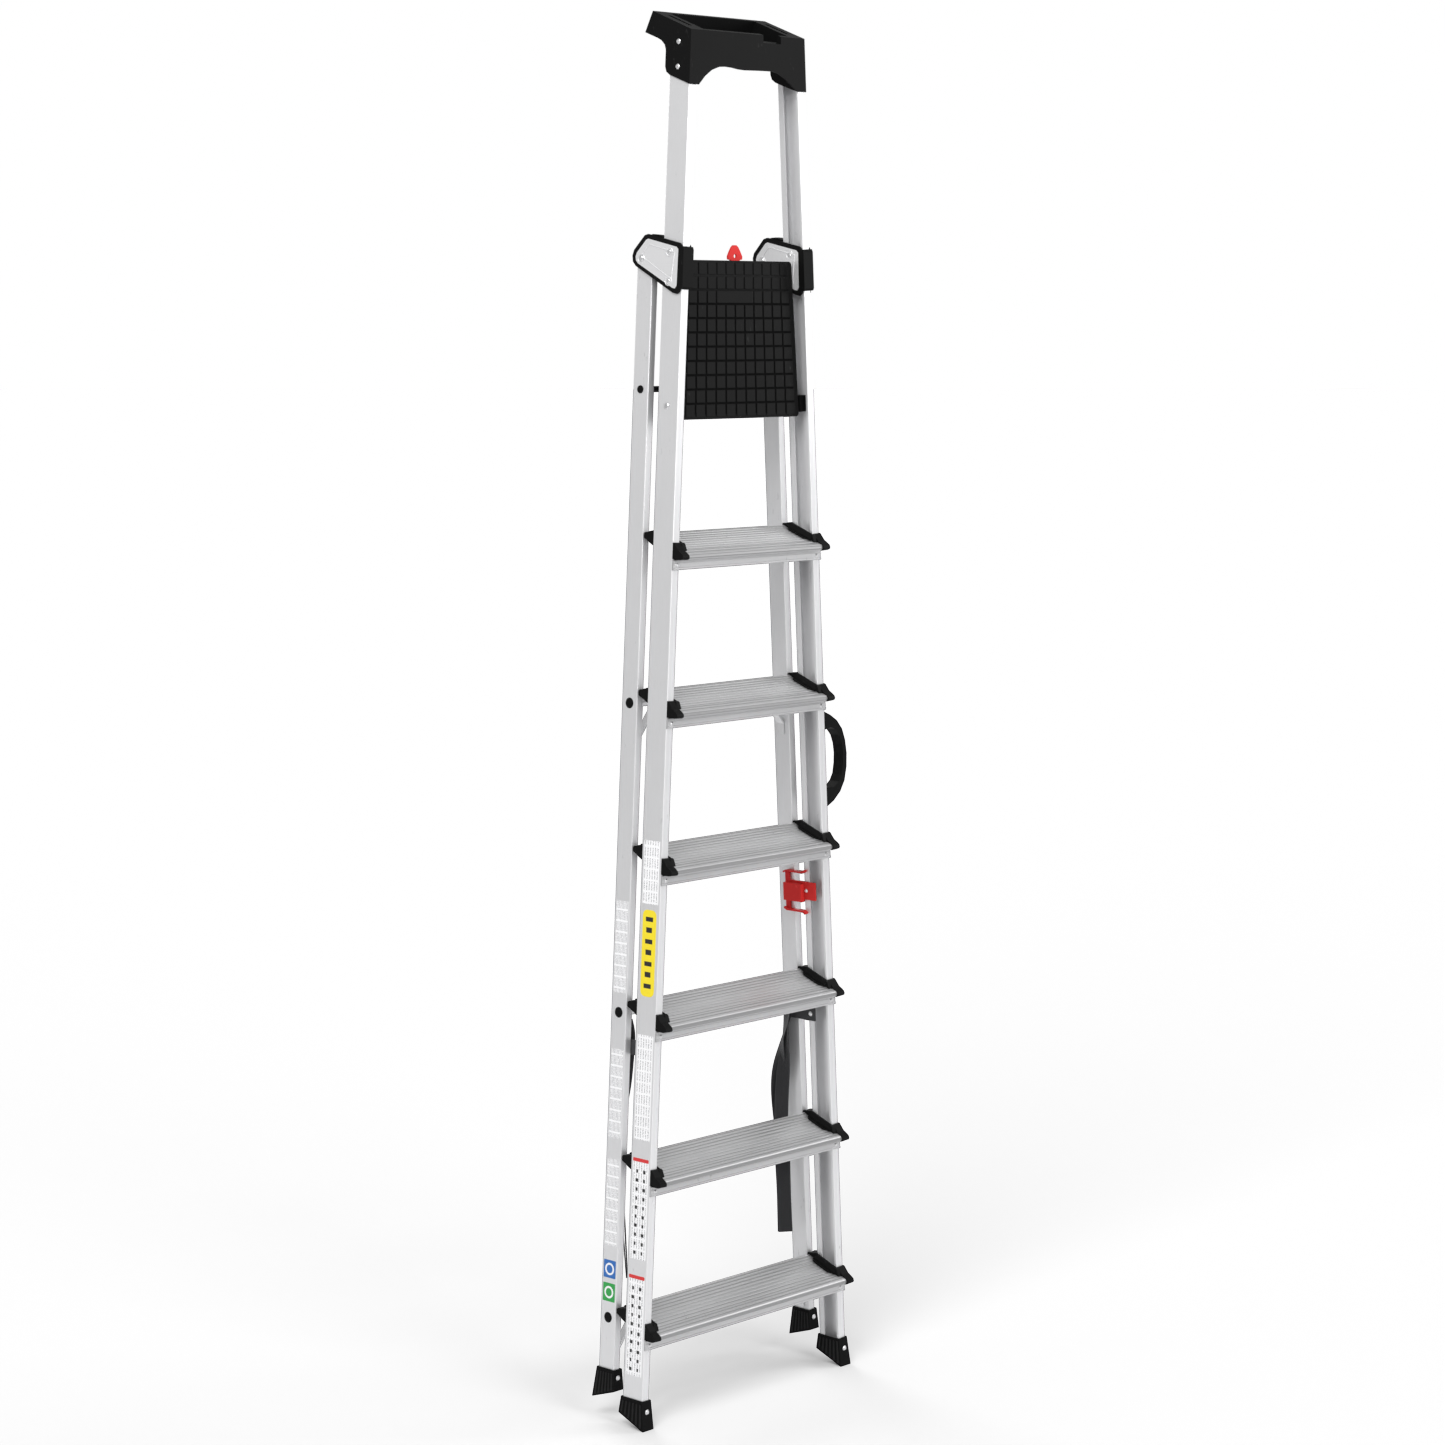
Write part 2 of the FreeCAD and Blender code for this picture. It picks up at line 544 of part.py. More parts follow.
def build_feet(front_space, rear_space):
    tall = foot("front_foot", 0.0, D["rail_depth"], 51.0, -3.0, -8.0, 56.0, 0.0, LEAN)
    rear_front = D["rear_rail_front"]
    rear_back = rear_front + D["rear_rail_depth"]
    short = foot("rear_foot", rear_front, rear_back, 90.0, 33.0, 65.0, 117.5, 54.3, -18.4)
    spots = (right_side(32.0, -5.2) * at(-8.0) * turned(X_AXIS, -90),
             right_side(76.0, 67.6) * at(-8.0) * turned(X_AXIS, -90))
    grips = (5.2 + D["rail_wall"], 4.4 + D["rear_rail_wall"])
    holes = []
    for boot, space, spot, grip, label in zip((tall, short), (front_space, rear_space), spots, grips,
                                              ("front", "rear")):
        bore = hole("%s_foot_bore" % label, spot, grip)
        pin = rivet("%s_foot_rivet" % label, spot, grip)
        both_sides("%s_foot" % label, cut("%s_foot_fitted" % label, boot, [space, bore]))
        twin = mirrored("%s_foot_rivet_left" % label, pin)
        node("%s_foot_rivets" % label, group("%s_foot_rivet_set" % label, [pin, twin]))
        holes.append(bore)
    return holes


# ---------------------------------------------------------------- rear section
def build_cross_bars():
    """Round tubes from rail to rail, the bar under the platform, plugs and braces."""
    spaces = []
    plugs = []
    braces = []
    heights = [D["rest_bar_height"] - D["bar_spacing"] * (CROSS_BARS - i) for i in range(CROSS_BARS)]
    heights.append(D["rest_bar_height"])
    for i, height in enumerate(heights):
        name = "cross_bar_%d" % (i + 1) if i < CROSS_BARS else "platform_rest_bar"
        radius = "Dim.bar_radius" if i < CROSS_BARS else "Dim.rest_bar_radius"
        reach = half_width(height) - D["rear_rail_inset"] - 0.7
        start = at(-reach, D["bar_y"], height) * turned(Y_AXIS, 90)
        rod = cylinder(name + "_rod", start, radius, 2 * reach)
        bar = rod
        if i < CROSS_BARS:
            bore = cylinder(name + "_bore", start, "Dim.bar_radius - 1.5", 2 * reach)
            bar = cut(name + "_tube", rod, [bore])
        spaces.append(cylinder(name + "_space", start * at(0, 0, -10), radius + " + 0.15", 2 * reach + 20))
        node(name, bar)
        spot = across(right_side(height, D["bar_y"]), 0.2 - D["rear_rail_inset"])
        head = cone("plug_head_%d" % i, spot, 9.2 if i < CROSS_BARS else 6.8, 6.2, 1.6)
        if i < CROSS_BARS:
            stem = cylinder("plug_stem_%d" % i, spot * turned(X_AXIS, 180), 6.0, 8.0)
            head = fuse("plug_%d" % i, [head, stem])
        plugs += [head, mirrored("plug_left_%d" % i, head)]
    for i in (0, 2):
        height = heights[i]
        top = half_width(height) - 60.0
        low = half_width(height - 66.0) - 16.2
        y = D["bar_y"] - 7.0
        brace = prism("brace_%d" % i, at(0, y, 0) * FRONT_VIEW, [
            (top - 14.0, height - 8.2), (top + 1.4, height - 8.2), (low, height - 66.0),
            (low + 1.0, height - 86.0), (low - 1.5, height - 86.0), (low - 2.5, height - 67.0),
            (top, height - 10.7), (top - 14.0, height - 10.7)], 14.0, back=True)
        braces += [brace, mirrored("brace_left_%d" % i, brace)]
    node("rail_plugs", group("rail_plug_set", plugs))
    node("cross_bar_braces", group("brace_set", braces))
    return spaces


# ---------------------------------------------------------------- platform
def build_platform():
    frame = deck_frame()
    ahead, length = "-Dim.deck_ahead", "Dim.deck_length - Dim.deck_ahead"
    front, rear = "Dim.deck_front_half", "Dim.deck_rear_half"
    top, plate = D["deck_top"], D["deck_plate"]
    sheet_plate = prism("deck_plate", frame * at(0, 0, top - plate), [
        ("-" + front, ahead), (front, ahead), (rear, length), ("-" + rear, length)], "Dim.deck_plate")
    corners = rounded("deck_plate_soft", sheet_plate, 7.0, frame.Rotation.multVec(Z_AXIS),
                      lambda p, size: True)
    ribs = []
    for i, x in enumerate((-136.0, -70.0, 0.0, 70.0, 136.0)):
        if abs(x) > 100:
            sign = math.copysign(1, x)
            sides = [(sign * 141.5, -18.0), (sign * 145.5, -18.0), (sign * 134.5, 196.0),
                     (sign * 130.5, 196.0)]
        else:
            sides = [(x - 1.5, -18.0), (x + 1.5, -18.0), (x + 1.5, 196.0), (x - 1.5, 196.0)]
        ribs.append(prism("deck_rib_%d" % i, frame * at(0, 0, -11.0), sides, top + 4.5))
    for i, y in enumerate((-18.0, 193.0)):
        ribs.append(prism("deck_cross_%d" % i, frame * at(0, 0, -11.0), [
            (-140.0 + 0.05 * y, y), (140.0 - 0.05 * y, y), (140.0 - 0.05 * y, y + 3.0),
            (-140.0 + 0.05 * y, y + 3.0)], top + 4.5))
    for i, x in enumerate((-145.0, 129.0)):
        ribs.append(side_plate("deck_boss_%d" % i, frame, [
            (-9.0, -9.0), (-5.0, -11.0), (5.0, -11.0), (9.0, -9.0), (12.0, 5.0), (-12.0, 5.0)],
            x, x + 16.0))
    for i, x in enumerate((-15.0, 12.0)):
        ribs.append(prism("deck_guide_%d" % i, frame * at(0, 0, -3.0), [
            (x, 221.0), (x + 3.0, 221.0), (x + 3.0, 243.0), (x, 243.0)], 8.0))
    solid = fuse("deck_solid", [corners] + ribs)
    bore = cylinder("deck_pin_bore", frame * at(-150) * turned(Y_AXIS, 90),
                    "Dim.pivot_radius + Dim.running_gap", 300)
    latch_axis = frame * at(-14.5, 225.0, 0.7) * turned(Y_AXIS, 90)
    latch_bore = cylinder("latch_pin_bore", latch_axis * at(0, 0, -1), "1.5 + Dim.running_gap", 31)
    node("platform_deck", cut("platform_deck_shape", solid, [bore, latch_bore]))

    tab = prism("latch_tab", frame * at(0, 0, -1.2), [
        (-11.0, 223.0), (11.0, 223.0), (11.0, 245.0), (17.0, 246.0), (17.5, 251.0), (13.0, 259.0),
        (8.0, 266.5), (3.5, 270.0), (-3.5, 270.0), (-8.0, 266.5), (-13.0, 259.0), (-17.5, 251.0),
        (-17.0, 246.0), (-11.0, 245.0)], 3.8)
    nose = prism("latch_nose", frame * at(0, 0, -6.5), [
        (-10.0, 223.0), (10.0, 223.0), (10.0, 227.0), (-10.0, 227.0)], 6.0)
    trunnion = cylinder("latch_trunnion", latch_axis, 1.5, 29)
    finger = cylinder("latch_hole", frame * at(0, 251.5, -5.0), 3.8, 12)
    whole = fuse("latch_solid", [tab, nose, trunnion])
    node("platform_latch", cut("platform_latch_shape", whole, [finger]))


def build_platform_pivots():
    place = right_side(D["deck_pivot_height"], D["deck_pivot_y"])
    block = side_plate("pivot_block", place, [
        (-12.0, -14.0), (6.0, -14.0), (8.2, -11.0), (8.2, 11.0), (6.0, 14.0), (-12.0, 14.0)],
        -20.5, -1.9)
    reach = half_width(D["deck_pivot_height"])
    axis = at(reach + 0.4, D["deck_pivot_y"], D["deck_pivot_height"]) * turned(Y_AXIS, -90)
    shank = cylinder("deck_pin_shank", axis, "Dim.pivot_radius", 41.0)
    head = cone("deck_pin_head", axis * turned(X_AXIS, 180), 6.0, 4.0, 1.4)
    pin = fuse("deck_pin_shape", [shank, head])
    bore = cylinder("deck_pin_space", axis, "Dim.pin_hole_radius", 41.0)
    both_sides("platform_bracket", cut("platform_bracket_shape", block, [bore]))
    node("platform_pins", group("deck_pin_set", [pin, mirrored("deck_pin_left", pin)]))
    return bore


# ---------------------------------------------------------------- small fittings
def build_handle():
    place = right_side(1110.0, 23.0)
    bow = [(0, 91), (8, 88), (28, 78), (45, 66), (58, 49), (65, 28), (68, 4), (66.5, -20), (60, -44),
           (48, -62), (30, -76), (12, -84), (0, -87), (0, -52), (8, -50), (34, -52), (46, -44),
           (54, -32), (58, -14), (59.5, 4), (57.5, 22), (52, 38), (42, 50), (30, 56), (8, 54), (0, 56)]
    bar = prism("handle_bow", place * at(0.1, -11, 0) * FRONT_VIEW, bow, 22.0, back=True)
    inward = [(0, 54), (26, 52), (44, 42), (52, 28), (55, 6), (53, -14), (47, -32), (34, -46), (0, -48)]
    clear = prism("handle_gap", place * at(-0.5, -11.2, 0) * FRONT_VIEW, inward, 22.4, back=True)
    node("carry_handle", cut("carry_handle_shape", bar, [clear]))


def build_catch():
    """Snap clip on the front rail: a riveted plate, a box, and a far spine with two prongs."""
    place = right_side(873.0)
    spine = side_plate("catch_spine", place, [
        (19.0, -14.0), (80.0, -14.0), (80.0, -37.0), (90.0, -33.0), (90.0, 33.0), (80.0, 37.0),
        (80.0, 18.0), (19.0, 18.0)], -19.6, -16.5)
    prongs = [side_plate("catch_prong_%d" % i, place, [
        (90.0, z - side), (84.0, z), (44.0, z), (40.0, z + side), (40.0, z + 3.0 + side), (45.0, z + 3.0),
        (83.0, z + 3.0), (90.0, z + 3.0 - side)],
        -26.0, -16.6) for i, (z, side) in enumerate(((34.0, 3.0), (-37.0, -3.0)))]
    box = side_plate("catch_box", place, [(46.0, -18.0), (88.0, -18.0), (88.0, 14.0), (46.0, 14.0)],
                     -28.0, -16.7)
    room = side_plate("catch_room", place, [(50.0, -14.5), (90.0, -14.5), (90.0, 10.5), (50.0, 10.5)],
                      -25.5, -19.0)
    whole = cut("catch_hollow", fuse("catch_solid", [spine, box] + prongs), [room])
    spot = across(place * at(0, 40.5, 2.0), -19.6)
    bore = hole("catch_bore", spot, 6.2)
    node("closing_catch", cut("closing_catch_shape", whole, [bore]))
    return rivet("catch_rivet", spot, 5.4, 3.6, 3.2), bore


# ---------------------------------------------------------------- straps
def band(name, place, length, x_from, x_to, radius):
    """A hanging web with a rounded eye at its top."""
    half = D["strap_width"] / 2
    cornered = [(-half, 0), (-half, -length), (half, -length), (half, 0), (0.7 * half, 0.7 * half),
                (0, half), (-0.7 * half, 0.7 * half)]
    web = side_plate(name + "_web", place, cornered, x_from, x_to)
    eye = cylinder(name + "_eye", across(place, x_from - 1), radius, x_to - x_from + 2)
    return cut(name, web, [eye])


def build_straps():
    front_y, front_z = D["strap_front_y"], D["strap_front_height"]
    rear_y, rear_z = D["strap_rear_y"], D["strap_rear_height"]
    eye = D["rivet_radius"] + D["running_gap"]
    front_x = half_width(front_z)
    rear_x = half_width(rear_z)
    front = band("strap_front_web", at(front_x, front_y, front_z), D["strap_front_length"],
                 -22.0, -20.4, eye)
    rear = band("strap_rear_web", at(rear_x, rear_y, rear_z), D["strap_rear_length"],
                -22.9, -21.3, eye)
    for name, web in (("strap_front", front), ("strap_rear", rear)):
        both_sides(name, web)

    place = right_side(front_z)
    half = D["strap_width"] / 2
    end = side_plate("strap_tab", place, [
        (30.0, -half), (front_y, -half), (front_y + 0.7 * half, -0.7 * half), (front_y + half, 0),
        (front_y + 0.7 * half, 0.7 * half), (front_y, half), (30.0, half)], -19.3, -16.6)
    fix = across(place * at(0, 40.5, 0), -19.3)
    eye_spot = across(at(front_x, front_y, front_z), -22.1)
    rivet_fix = rivet("strap_fix_rivet", fix, 5.2, 4.4, 3.2)
    eye_pin = cylinder("strap_eye_shank", eye_spot, "Dim.rivet_radius", 5.3)
    eye_head = cone("strap_eye_head", eye_spot * turned(X_AXIS, 180), 4.4, 3.6, 0.8)
    eye_rivet = fuse("strap_eye_rivet", [eye_pin, eye_head])
    bores = [hole("strap_fix_bore", fix, 6.2), hole("strap_eye_bore", eye_spot, 5.3)]
    both_sides("strap_tab", cut("strap_tab_shape", end, bores))

    rear_spot = across(at(rear_x, rear_y, rear_z), -23.2)
    rear_pin = cylinder("strap_rear_shank", rear_spot, "Dim.rivet_radius", 8.6)
    rear_head = cone("strap_rear_head", rear_spot * turned(X_AXIS, 180), 4.4, 3.0, 1.4)
    rear_rivet = fuse("strap_rear_rivet", [rear_pin, rear_head])
    node("strap_rear_rivets", group("strap_rear_rivet_set", [
        rear_rivet, mirrored("strap_rear_rivet_left", rear_rivet)]))
    rear_bore = hole("strap_rear_bore", rear_spot, 8.6)
    return [rivet_fix, eye_rivet], bores[0], rear_bore


# ---------------------------------------------------------------- the whole ladder
front_bar = front_rail()
rear_tube = rear_rail()
front_space = side_plate("front_rail_space", right_side(D["rail_bottom"]), [
    (-0.2, -1.2), (-0.2, 60), (D["rail_depth"] + 0.2, 60), (D["rail_depth"] + 0.2, -1.2)],
    -D["rail_face"] - 0.2, 0.2)
tray_space = side_plate("tray_rail_space", right_side(2250.0), [
    (-0.2, 0), (-0.2, 103.2), (D["rail_depth"] + 0.2, 103.2), (D["rail_depth"] + 0.2, 0)],
    -D["rail_face"] - 0.2, 0.2)
rear_back = D["rear_rail_front"] + D["rear_rail_depth"]
rear_space = side_plate("rear_rail_space", right_side(D["rear_rail_bottom"]), [
    (D["rear_rail_front"] - 0.2, -1.2), (D["rear_rail_front"] - 0.2, 100), (rear_back + 0.2, 100),
    (rear_back + 0.2, -1.2)], -D["rear_rail_inset"] - D["rear_rail_face"] - 0.2,
    0.2 - D["rear_rail_inset"])

tread_holes = build_treads()
build_caps()
hinge_bores, fold_axis = build_hinges()
tray_bores = build_tray(tray_space)
front_foot_bore, rear_foot_bore = build_feet(front_space, rear_space)
bar_spaces = build_cross_bars()
build_platform()
deck_pin_bore = build_platform_pivots()
build_handle()
catch_rivet, catch_bore = build_catch()
strap_rivets, strap_bore, strap_rear_bore = build_straps()

inner_pins = group("inner_rivets_right", strap_rivets)
node("inner_rivets", group("inner_rivet_set", [
    catch_rivet, inner_pins, mirrored("inner_rivets_left", inner_pins)]))

front_drilled = cut("front_rail_drilled", front_bar, tread_holes[0::2] + hinge_bores + tray_bores + [
    front_foot_bore, deck_pin_bore, strap_bore])
right_rail = cut("front_rail_right_shape", front_drilled, [catch_bore])
node("front_rail_right", right_rail)
node("front_rail_left", mirrored("front_rail_left_shape", front_drilled))

turning_bore = cylinder("fold_turning_bore", fold_axis, "Dim.pivot_radius + Dim.running_gap", 24.3)
rear_drilled = cut("rear_rail_drilled", rear_tube, bar_spaces + [
    turning_bore, rear_foot_bore, strap_rear_bore])
both_sides("rear_rail", rear_drilled)

doc.recompute()

# ---------------------------------------------------------------- checks and export
for item in doc.Objects:
    if "Invalid" in item.State or "Error" in item.State:
        raise RuntimeError("%s did not build: %s" % (item.Name, item.State))
box = FreeCAD.BoundBox()
for piece in NODES:
    shape = piece.Shape
    if shape.isNull() or not shape.isValid() or not shape.Solids:
        raise RuntimeError("%s has no sound shape" % piece.Label)
    box.add(shape.BoundBox)
    shape.exportStep("parts/%s.step" % piece.Label)
    print("%-24s solids %d  volume %.0f" % (piece.Label, len(shape.Solids), shape.Volume))
print("box X %.2f..%.2f  Y %.2f..%.2f  Z %.2f..%.2f" % (
    box.XMin, box.XMax, box.YMin, box.YMax, box.ZMin, box.ZMax))
print("nodes", len(NODES))
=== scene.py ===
import json
import math

import bmesh
import bpy
from mathutils import Matrix, Vector


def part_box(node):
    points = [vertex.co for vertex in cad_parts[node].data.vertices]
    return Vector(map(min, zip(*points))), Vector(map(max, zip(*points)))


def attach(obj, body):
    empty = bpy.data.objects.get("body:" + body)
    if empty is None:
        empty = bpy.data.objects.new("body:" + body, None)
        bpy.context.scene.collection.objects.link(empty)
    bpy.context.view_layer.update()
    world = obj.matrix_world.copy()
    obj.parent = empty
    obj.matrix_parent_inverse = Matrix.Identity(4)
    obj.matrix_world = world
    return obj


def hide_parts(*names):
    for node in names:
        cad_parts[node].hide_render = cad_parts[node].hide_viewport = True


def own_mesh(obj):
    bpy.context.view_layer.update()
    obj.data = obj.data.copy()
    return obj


# Looks for the folding platform step ladder: finishes, moulded detail, labels and webbing, all
# placed from the CAD frame. Lengths are millimetres on the ladder unless a comment says otherwise,
# and place() turns them into the row's metres. x runs from the ladder's middle, y from the front
# faces of the front rails and z from the floor.

MM = 0.001
PER_METRE = 1000.0
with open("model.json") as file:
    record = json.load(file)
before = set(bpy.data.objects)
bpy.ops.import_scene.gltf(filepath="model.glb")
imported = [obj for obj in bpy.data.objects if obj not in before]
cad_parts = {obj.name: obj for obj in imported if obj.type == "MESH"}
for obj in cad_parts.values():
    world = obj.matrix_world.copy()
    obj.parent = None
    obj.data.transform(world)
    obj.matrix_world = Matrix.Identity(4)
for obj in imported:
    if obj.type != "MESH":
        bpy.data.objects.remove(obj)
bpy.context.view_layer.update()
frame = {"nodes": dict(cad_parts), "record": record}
JOINTS = {joint["name"]: joint for joint in frame["record"]["behaviour"]["joints"]}

# ---------------------------------------------------------------- where things are
LEFT, RIGHT = -1, 1
SIDES = ((LEFT, "left"), (RIGHT, "right"))
RAIL_LOW, RAIL_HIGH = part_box("front_rail_right")
LEFT_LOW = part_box("front_rail_left")[0]
MIDDLE = (RAIL_HIGH[0] + LEFT_LOW[0]) / 2       # metres, like the boxes
FACE = RAIL_LOW[1]                              # metres
RAIL_FACE = 16.3                                # one rail's own width
RAIL_DEPTH = (RAIL_HIGH[1] - RAIL_LOW[1]) / MM
TAPER = (RAIL_HIGH[0] - RAIL_LOW[0] - RAIL_FACE * MM) / (RAIL_HIGH[2] - RAIL_LOW[2])
REAR_FRONT = (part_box("rear_rail_right")[0][1] - FACE) / MM
REAR_BACK = (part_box("rear_rail_right")[1][1] - FACE) / MM
FRONT_SOLE_SLOPE = math.radians(20.6)           # soles are cut for the open ladder
REAR_SOLE_SLOPE = math.radians(-18.4)
FOLD_PIVOT = Vector(JOINTS["fold"]["pos_m"])
DECK_PIVOT = Vector(JOINTS["platform_flip"]["pos_m"])
DECK_LEAN = math.radians(88.8)                  # the folded platform's slope
DECK_OUT = Vector((0, -math.sin(DECK_LEAN), math.cos(DECK_LEAN)))
DECK_HALF = 147.2                               # half width of the platform's front edge
DECK_NARROWING = 14.8                           # how much less its rear edge has
DECK_FRONT = 23.0                               # from its pivot to its front edge
DECK_LENGTH = 266.5
DECK_SURFACE = 10.5                             # from its pivot's level to its tread surface
TREAD_RIB = 7.4                                 # pitch of the ribs on a tread


def half_width(height):
    """Outer face of a rail from the middle, in millimetres."""
    return (RAIL_HIGH[0] - MIDDLE) / MM - TAPER * (height - RAIL_LOW[2] / MM)


def place(x, y, z):
    """A point on the ladder, in the row frame."""
    return Vector((MIDDLE + x * MM, FACE + y * MM, z * MM))


def on_side(side, off, y, z):
    """A point measured outwards from a rail's outer face."""
    return place(side * (half_width(z) + off), y, z)


def on_deck(along, across, out):
    """A point on the folded platform: along its length, across it, out of its tread surface."""
    sin, cos = math.sin(DECK_LEAN), math.cos(DECK_LEAN)
    local = Vector((across, along * cos - out * sin, along * sin + out * cos)) * MM
    return Vector((MIDDLE, DECK_PIVOT.y, DECK_PIVOT.z)) + local


def deck_half_width(along):
    """The platform's half width at a distance from its pivot."""
    return DECK_HALF - DECK_NARROWING * (along + DECK_FRONT) / DECK_LENGTH


# ---------------------------------------------------------------- shader writing
class Value:
    """A node socket that takes part in sums."""

    def __init__(self, finish, socket):
        self.finish, self.socket = finish, socket

    def _sum(self, operation, *terms):
        settings = {"operation": operation}
        return self.finish.node("ShaderNodeMath", settings, dict(enumerate(terms)))[0]

    def __add__(self, other):
        return self._sum("ADD", self, other)

    def __sub__(self, other):
        return self._sum("SUBTRACT", self, other)

    def __rsub__(self, other):
        return self._sum("SUBTRACT", other, self)

    def __mul__(self, other):
        return self._sum("MULTIPLY", self, other)

    __radd__, __rmul__ = __add__, __mul__

    def over(self, edge):
        """1 above edge, 0 below it."""
        return self._sum("GREATER_THAN", self, edge)

    def wrapped(self):
        """The part after the decimal point, which repeats from 0 to 1."""
        return self._sum("FRACT", self)

    def size(self):
        return self._sum("ABSOLUTE", self)

    def held(self):
        """Kept between 0 and 1."""
        return self._sum("MAXIMUM", self._sum("MINIMUM", self, 1.0), 0.0)

    def smooth(self, low, high):
        """An eased step from 0 at low to 1 at high."""
        ramp = {"interpolation_type": "SMOOTHSTEP"}
        return self.finish.node("ShaderNodeMapRange", ramp, {"Value": self, "From Min": low,
                                                             "From Max": high})[0]


class Finish:
    """A material under construction."""

    def __init__(self, name):
        self.material = bpy.data.materials.new(name)
        self.material.use_nodes = True
        self.tree = self.material.node_tree
        self.shader = self.tree.nodes["Principled BSDF"]
        self.space = self.node("ShaderNodeTexCoord")["Object"]

    def node(self, kind, settings=None, inputs=None):
        made = self.tree.nodes.new(kind)
        for key, value in (settings or {}).items():
            setattr(made, key, value)
        for key, value in (inputs or {}).items():
            self._feed(made.inputs[key], value)
        return Outputs(self, made)

    def _feed(self, socket, value):
        if isinstance(value, Value):
            self.tree.links.new(value.socket, socket)
        else:
            socket.default_value = value

    def noise(self, scale, detail=3.0, stretch=(1, 1, 1), roughness=0.5):
        mapped = self.node("ShaderNodeMapping", None, {"Vector": self.space, "Scale": stretch})
        return self.node("ShaderNodeTexNoise", None, {
            "Vector": mapped["Vector"], "Scale": scale, "Detail": detail,
            "Roughness": roughness})["Fac"]

    def axis(self, index):
        """One coordinate in millimetres."""
        split = self.node("ShaderNodeSeparateXYZ", None, {"Vector": self.space})
        return split[index] * PER_METRE

    def mix(self, factor, first, second):
        """A colour between two; a mix node's colours are its inputs 6 and 7 and its output 2."""
        settings = {"data_type": "RGBA"}
        return self.node("ShaderNodeMix", settings, {0: factor, 6: first, 7: second})[2]

    def wear(self, share, scale):
        """Thin scattered scuffs, 0 to 1."""
        broad = self.noise(scale * 0.12, 2.0).smooth(0.52, 0.66)
        fine = self.noise(scale, 4.0, (1, 1, 0.35), 0.65).smooth(0.60, 0.72)
        return broad * fine * share

    def surface(self, colour, roughness, height, depth, distance=0.0004, **fixed):
        """Fills in the shader: height makes the bump, depth its strength, distance its metres."""
        self._feed(self.shader.inputs["Base Color"], colour)
        self._feed(self.shader.inputs["Roughness"], roughness)
        for key, value in fixed.items():
            self.shader.inputs[key.replace("_", " ")].default_value = value
        bump = self.node("ShaderNodeBump", None, {
            "Height": height, "Strength": depth, "Distance": distance})["Normal"]
        self._feed(self.shader.inputs["Normal"], bump)
        return self.material


class Outputs:
    """The outputs of a node, by name or number."""

    def __init__(self, finish, made):
        self.finish, self.made = finish, made

    def __getitem__(self, key):
        return Value(self.finish, self.made.outputs[key])


def grey(level):
    """A grey that is very slightly blue."""
    return (level, level, level * 1.01, 1.0)


# How closely a drawn metal's lines are packed across the drawing direction, and along it.
LINES_ACROSS, LINES_ALONG = 26.0, 0.12


def extruded_aluminium(name, tone, drawn):
    """Mill-finish extrusion: fine lines along the axis it was drawn on, haze and a few scuffs."""
    finish = Finish(name)
    stretch = [LINES_ACROSS, LINES_ACROSS, LINES_ACROSS]
    stretch[drawn] = LINES_ALONG
    lines = finish.noise(30.0, 5.0, stretch, 0.62)
    haze = finish.noise(7.0, 3.0)
    scuffs = finish.wear(0.7, 140.0)
    colour = finish.mix(lines * 0.55 + haze * 0.3, grey(tone * 0.9), grey(tone * 1.06))
    colour = finish.mix(scuffs, colour, grey(tone * 0.72))
    rough = lines * 0.14 + haze * 0.10 + scuffs * 0.2 + 0.26
    return finish.surface(colour, rough, lines + scuffs * 0.5, 0.16, 0.00025,
                          Metallic=0.6, Specular_IOR_Level=0.55)


def tread_aluminium():
    """Tread extrusion, drawn across the ladder, with painted shade in its grooves and polished in
    the middle.
    """
    finish = Finish("tread aluminium")
    share_of_half = 0.0046                      # one over a tread's half width
    lines = finish.noise(30.0, 5.0, (LINES_ALONG, LINES_ACROSS, LINES_ACROSS), 0.62)
    haze = finish.noise(9.0, 3.0)
    middle = 1.0 - (finish.axis(0) * share_of_half).size().smooth(0.2, 1.0)
    trodden = finish.noise(16.0, 4.0, (0.5, 1.0, 1.0)) * middle
    scuffs = finish.wear(0.8, 120.0)
    colour = finish.mix(lines * 0.6 + haze * 0.3, grey(0.54), grey(0.67))
    colour = finish.mix(trodden * 0.35, colour, grey(0.74))
    over_rib = ((finish.axis(1) - FACE / MM) * (1 / TREAD_RIB)).wrapped() - 0.5
    # Painted shade: the grooves between the ribs are painted darker as the shade that falls in
    # them; the same mask also sinks them in the bump.
    groove_and_painted_shade = over_rib.size().smooth(0.30, 0.46)
    colour = finish.mix(groove_and_painted_shade * 0.8, colour, grey(0.27))
    colour = finish.mix(scuffs, colour, grey(0.42))
    rough = lines * 0.16 + haze * 0.10 + scuffs * 0.2 + 0.28
    return finish.surface(colour, rough, lines + scuffs * 0.5 - groove_and_painted_shade * 3.0, 0.35, 0.0003,
                          Metallic=0.78, Specular_IOR_Level=0.5)


def moulded_plastic(name, dark, light, roughness, grain=900.0):
    """Spark-eroded moulding: tight grain, faint flow marks and paler scuffs."""
    finish = Finish(name)
    pits = finish.noise(grain, 3.0)
    flow = finish.noise(12.0, 3.0, (1, 1, 0.4))
    scuffs = finish.wear(0.5, 160.0)
    colour = finish.mix(flow, dark, light)
    worn = tuple(min(1.0, channel * 2.2 + 0.03) for channel in light[:3]) + (1.0,)
    colour = finish.mix(scuffs, colour, worn)
    rough = pits * 0.12 + flow * 0.10 + scuffs * 0.15 + (roughness - 0.1)
    return finish.surface(colour, rough, pits + scuffs * 0.6, 0.3, 0.00012,
                          Specular_IOR_Level=0.08)


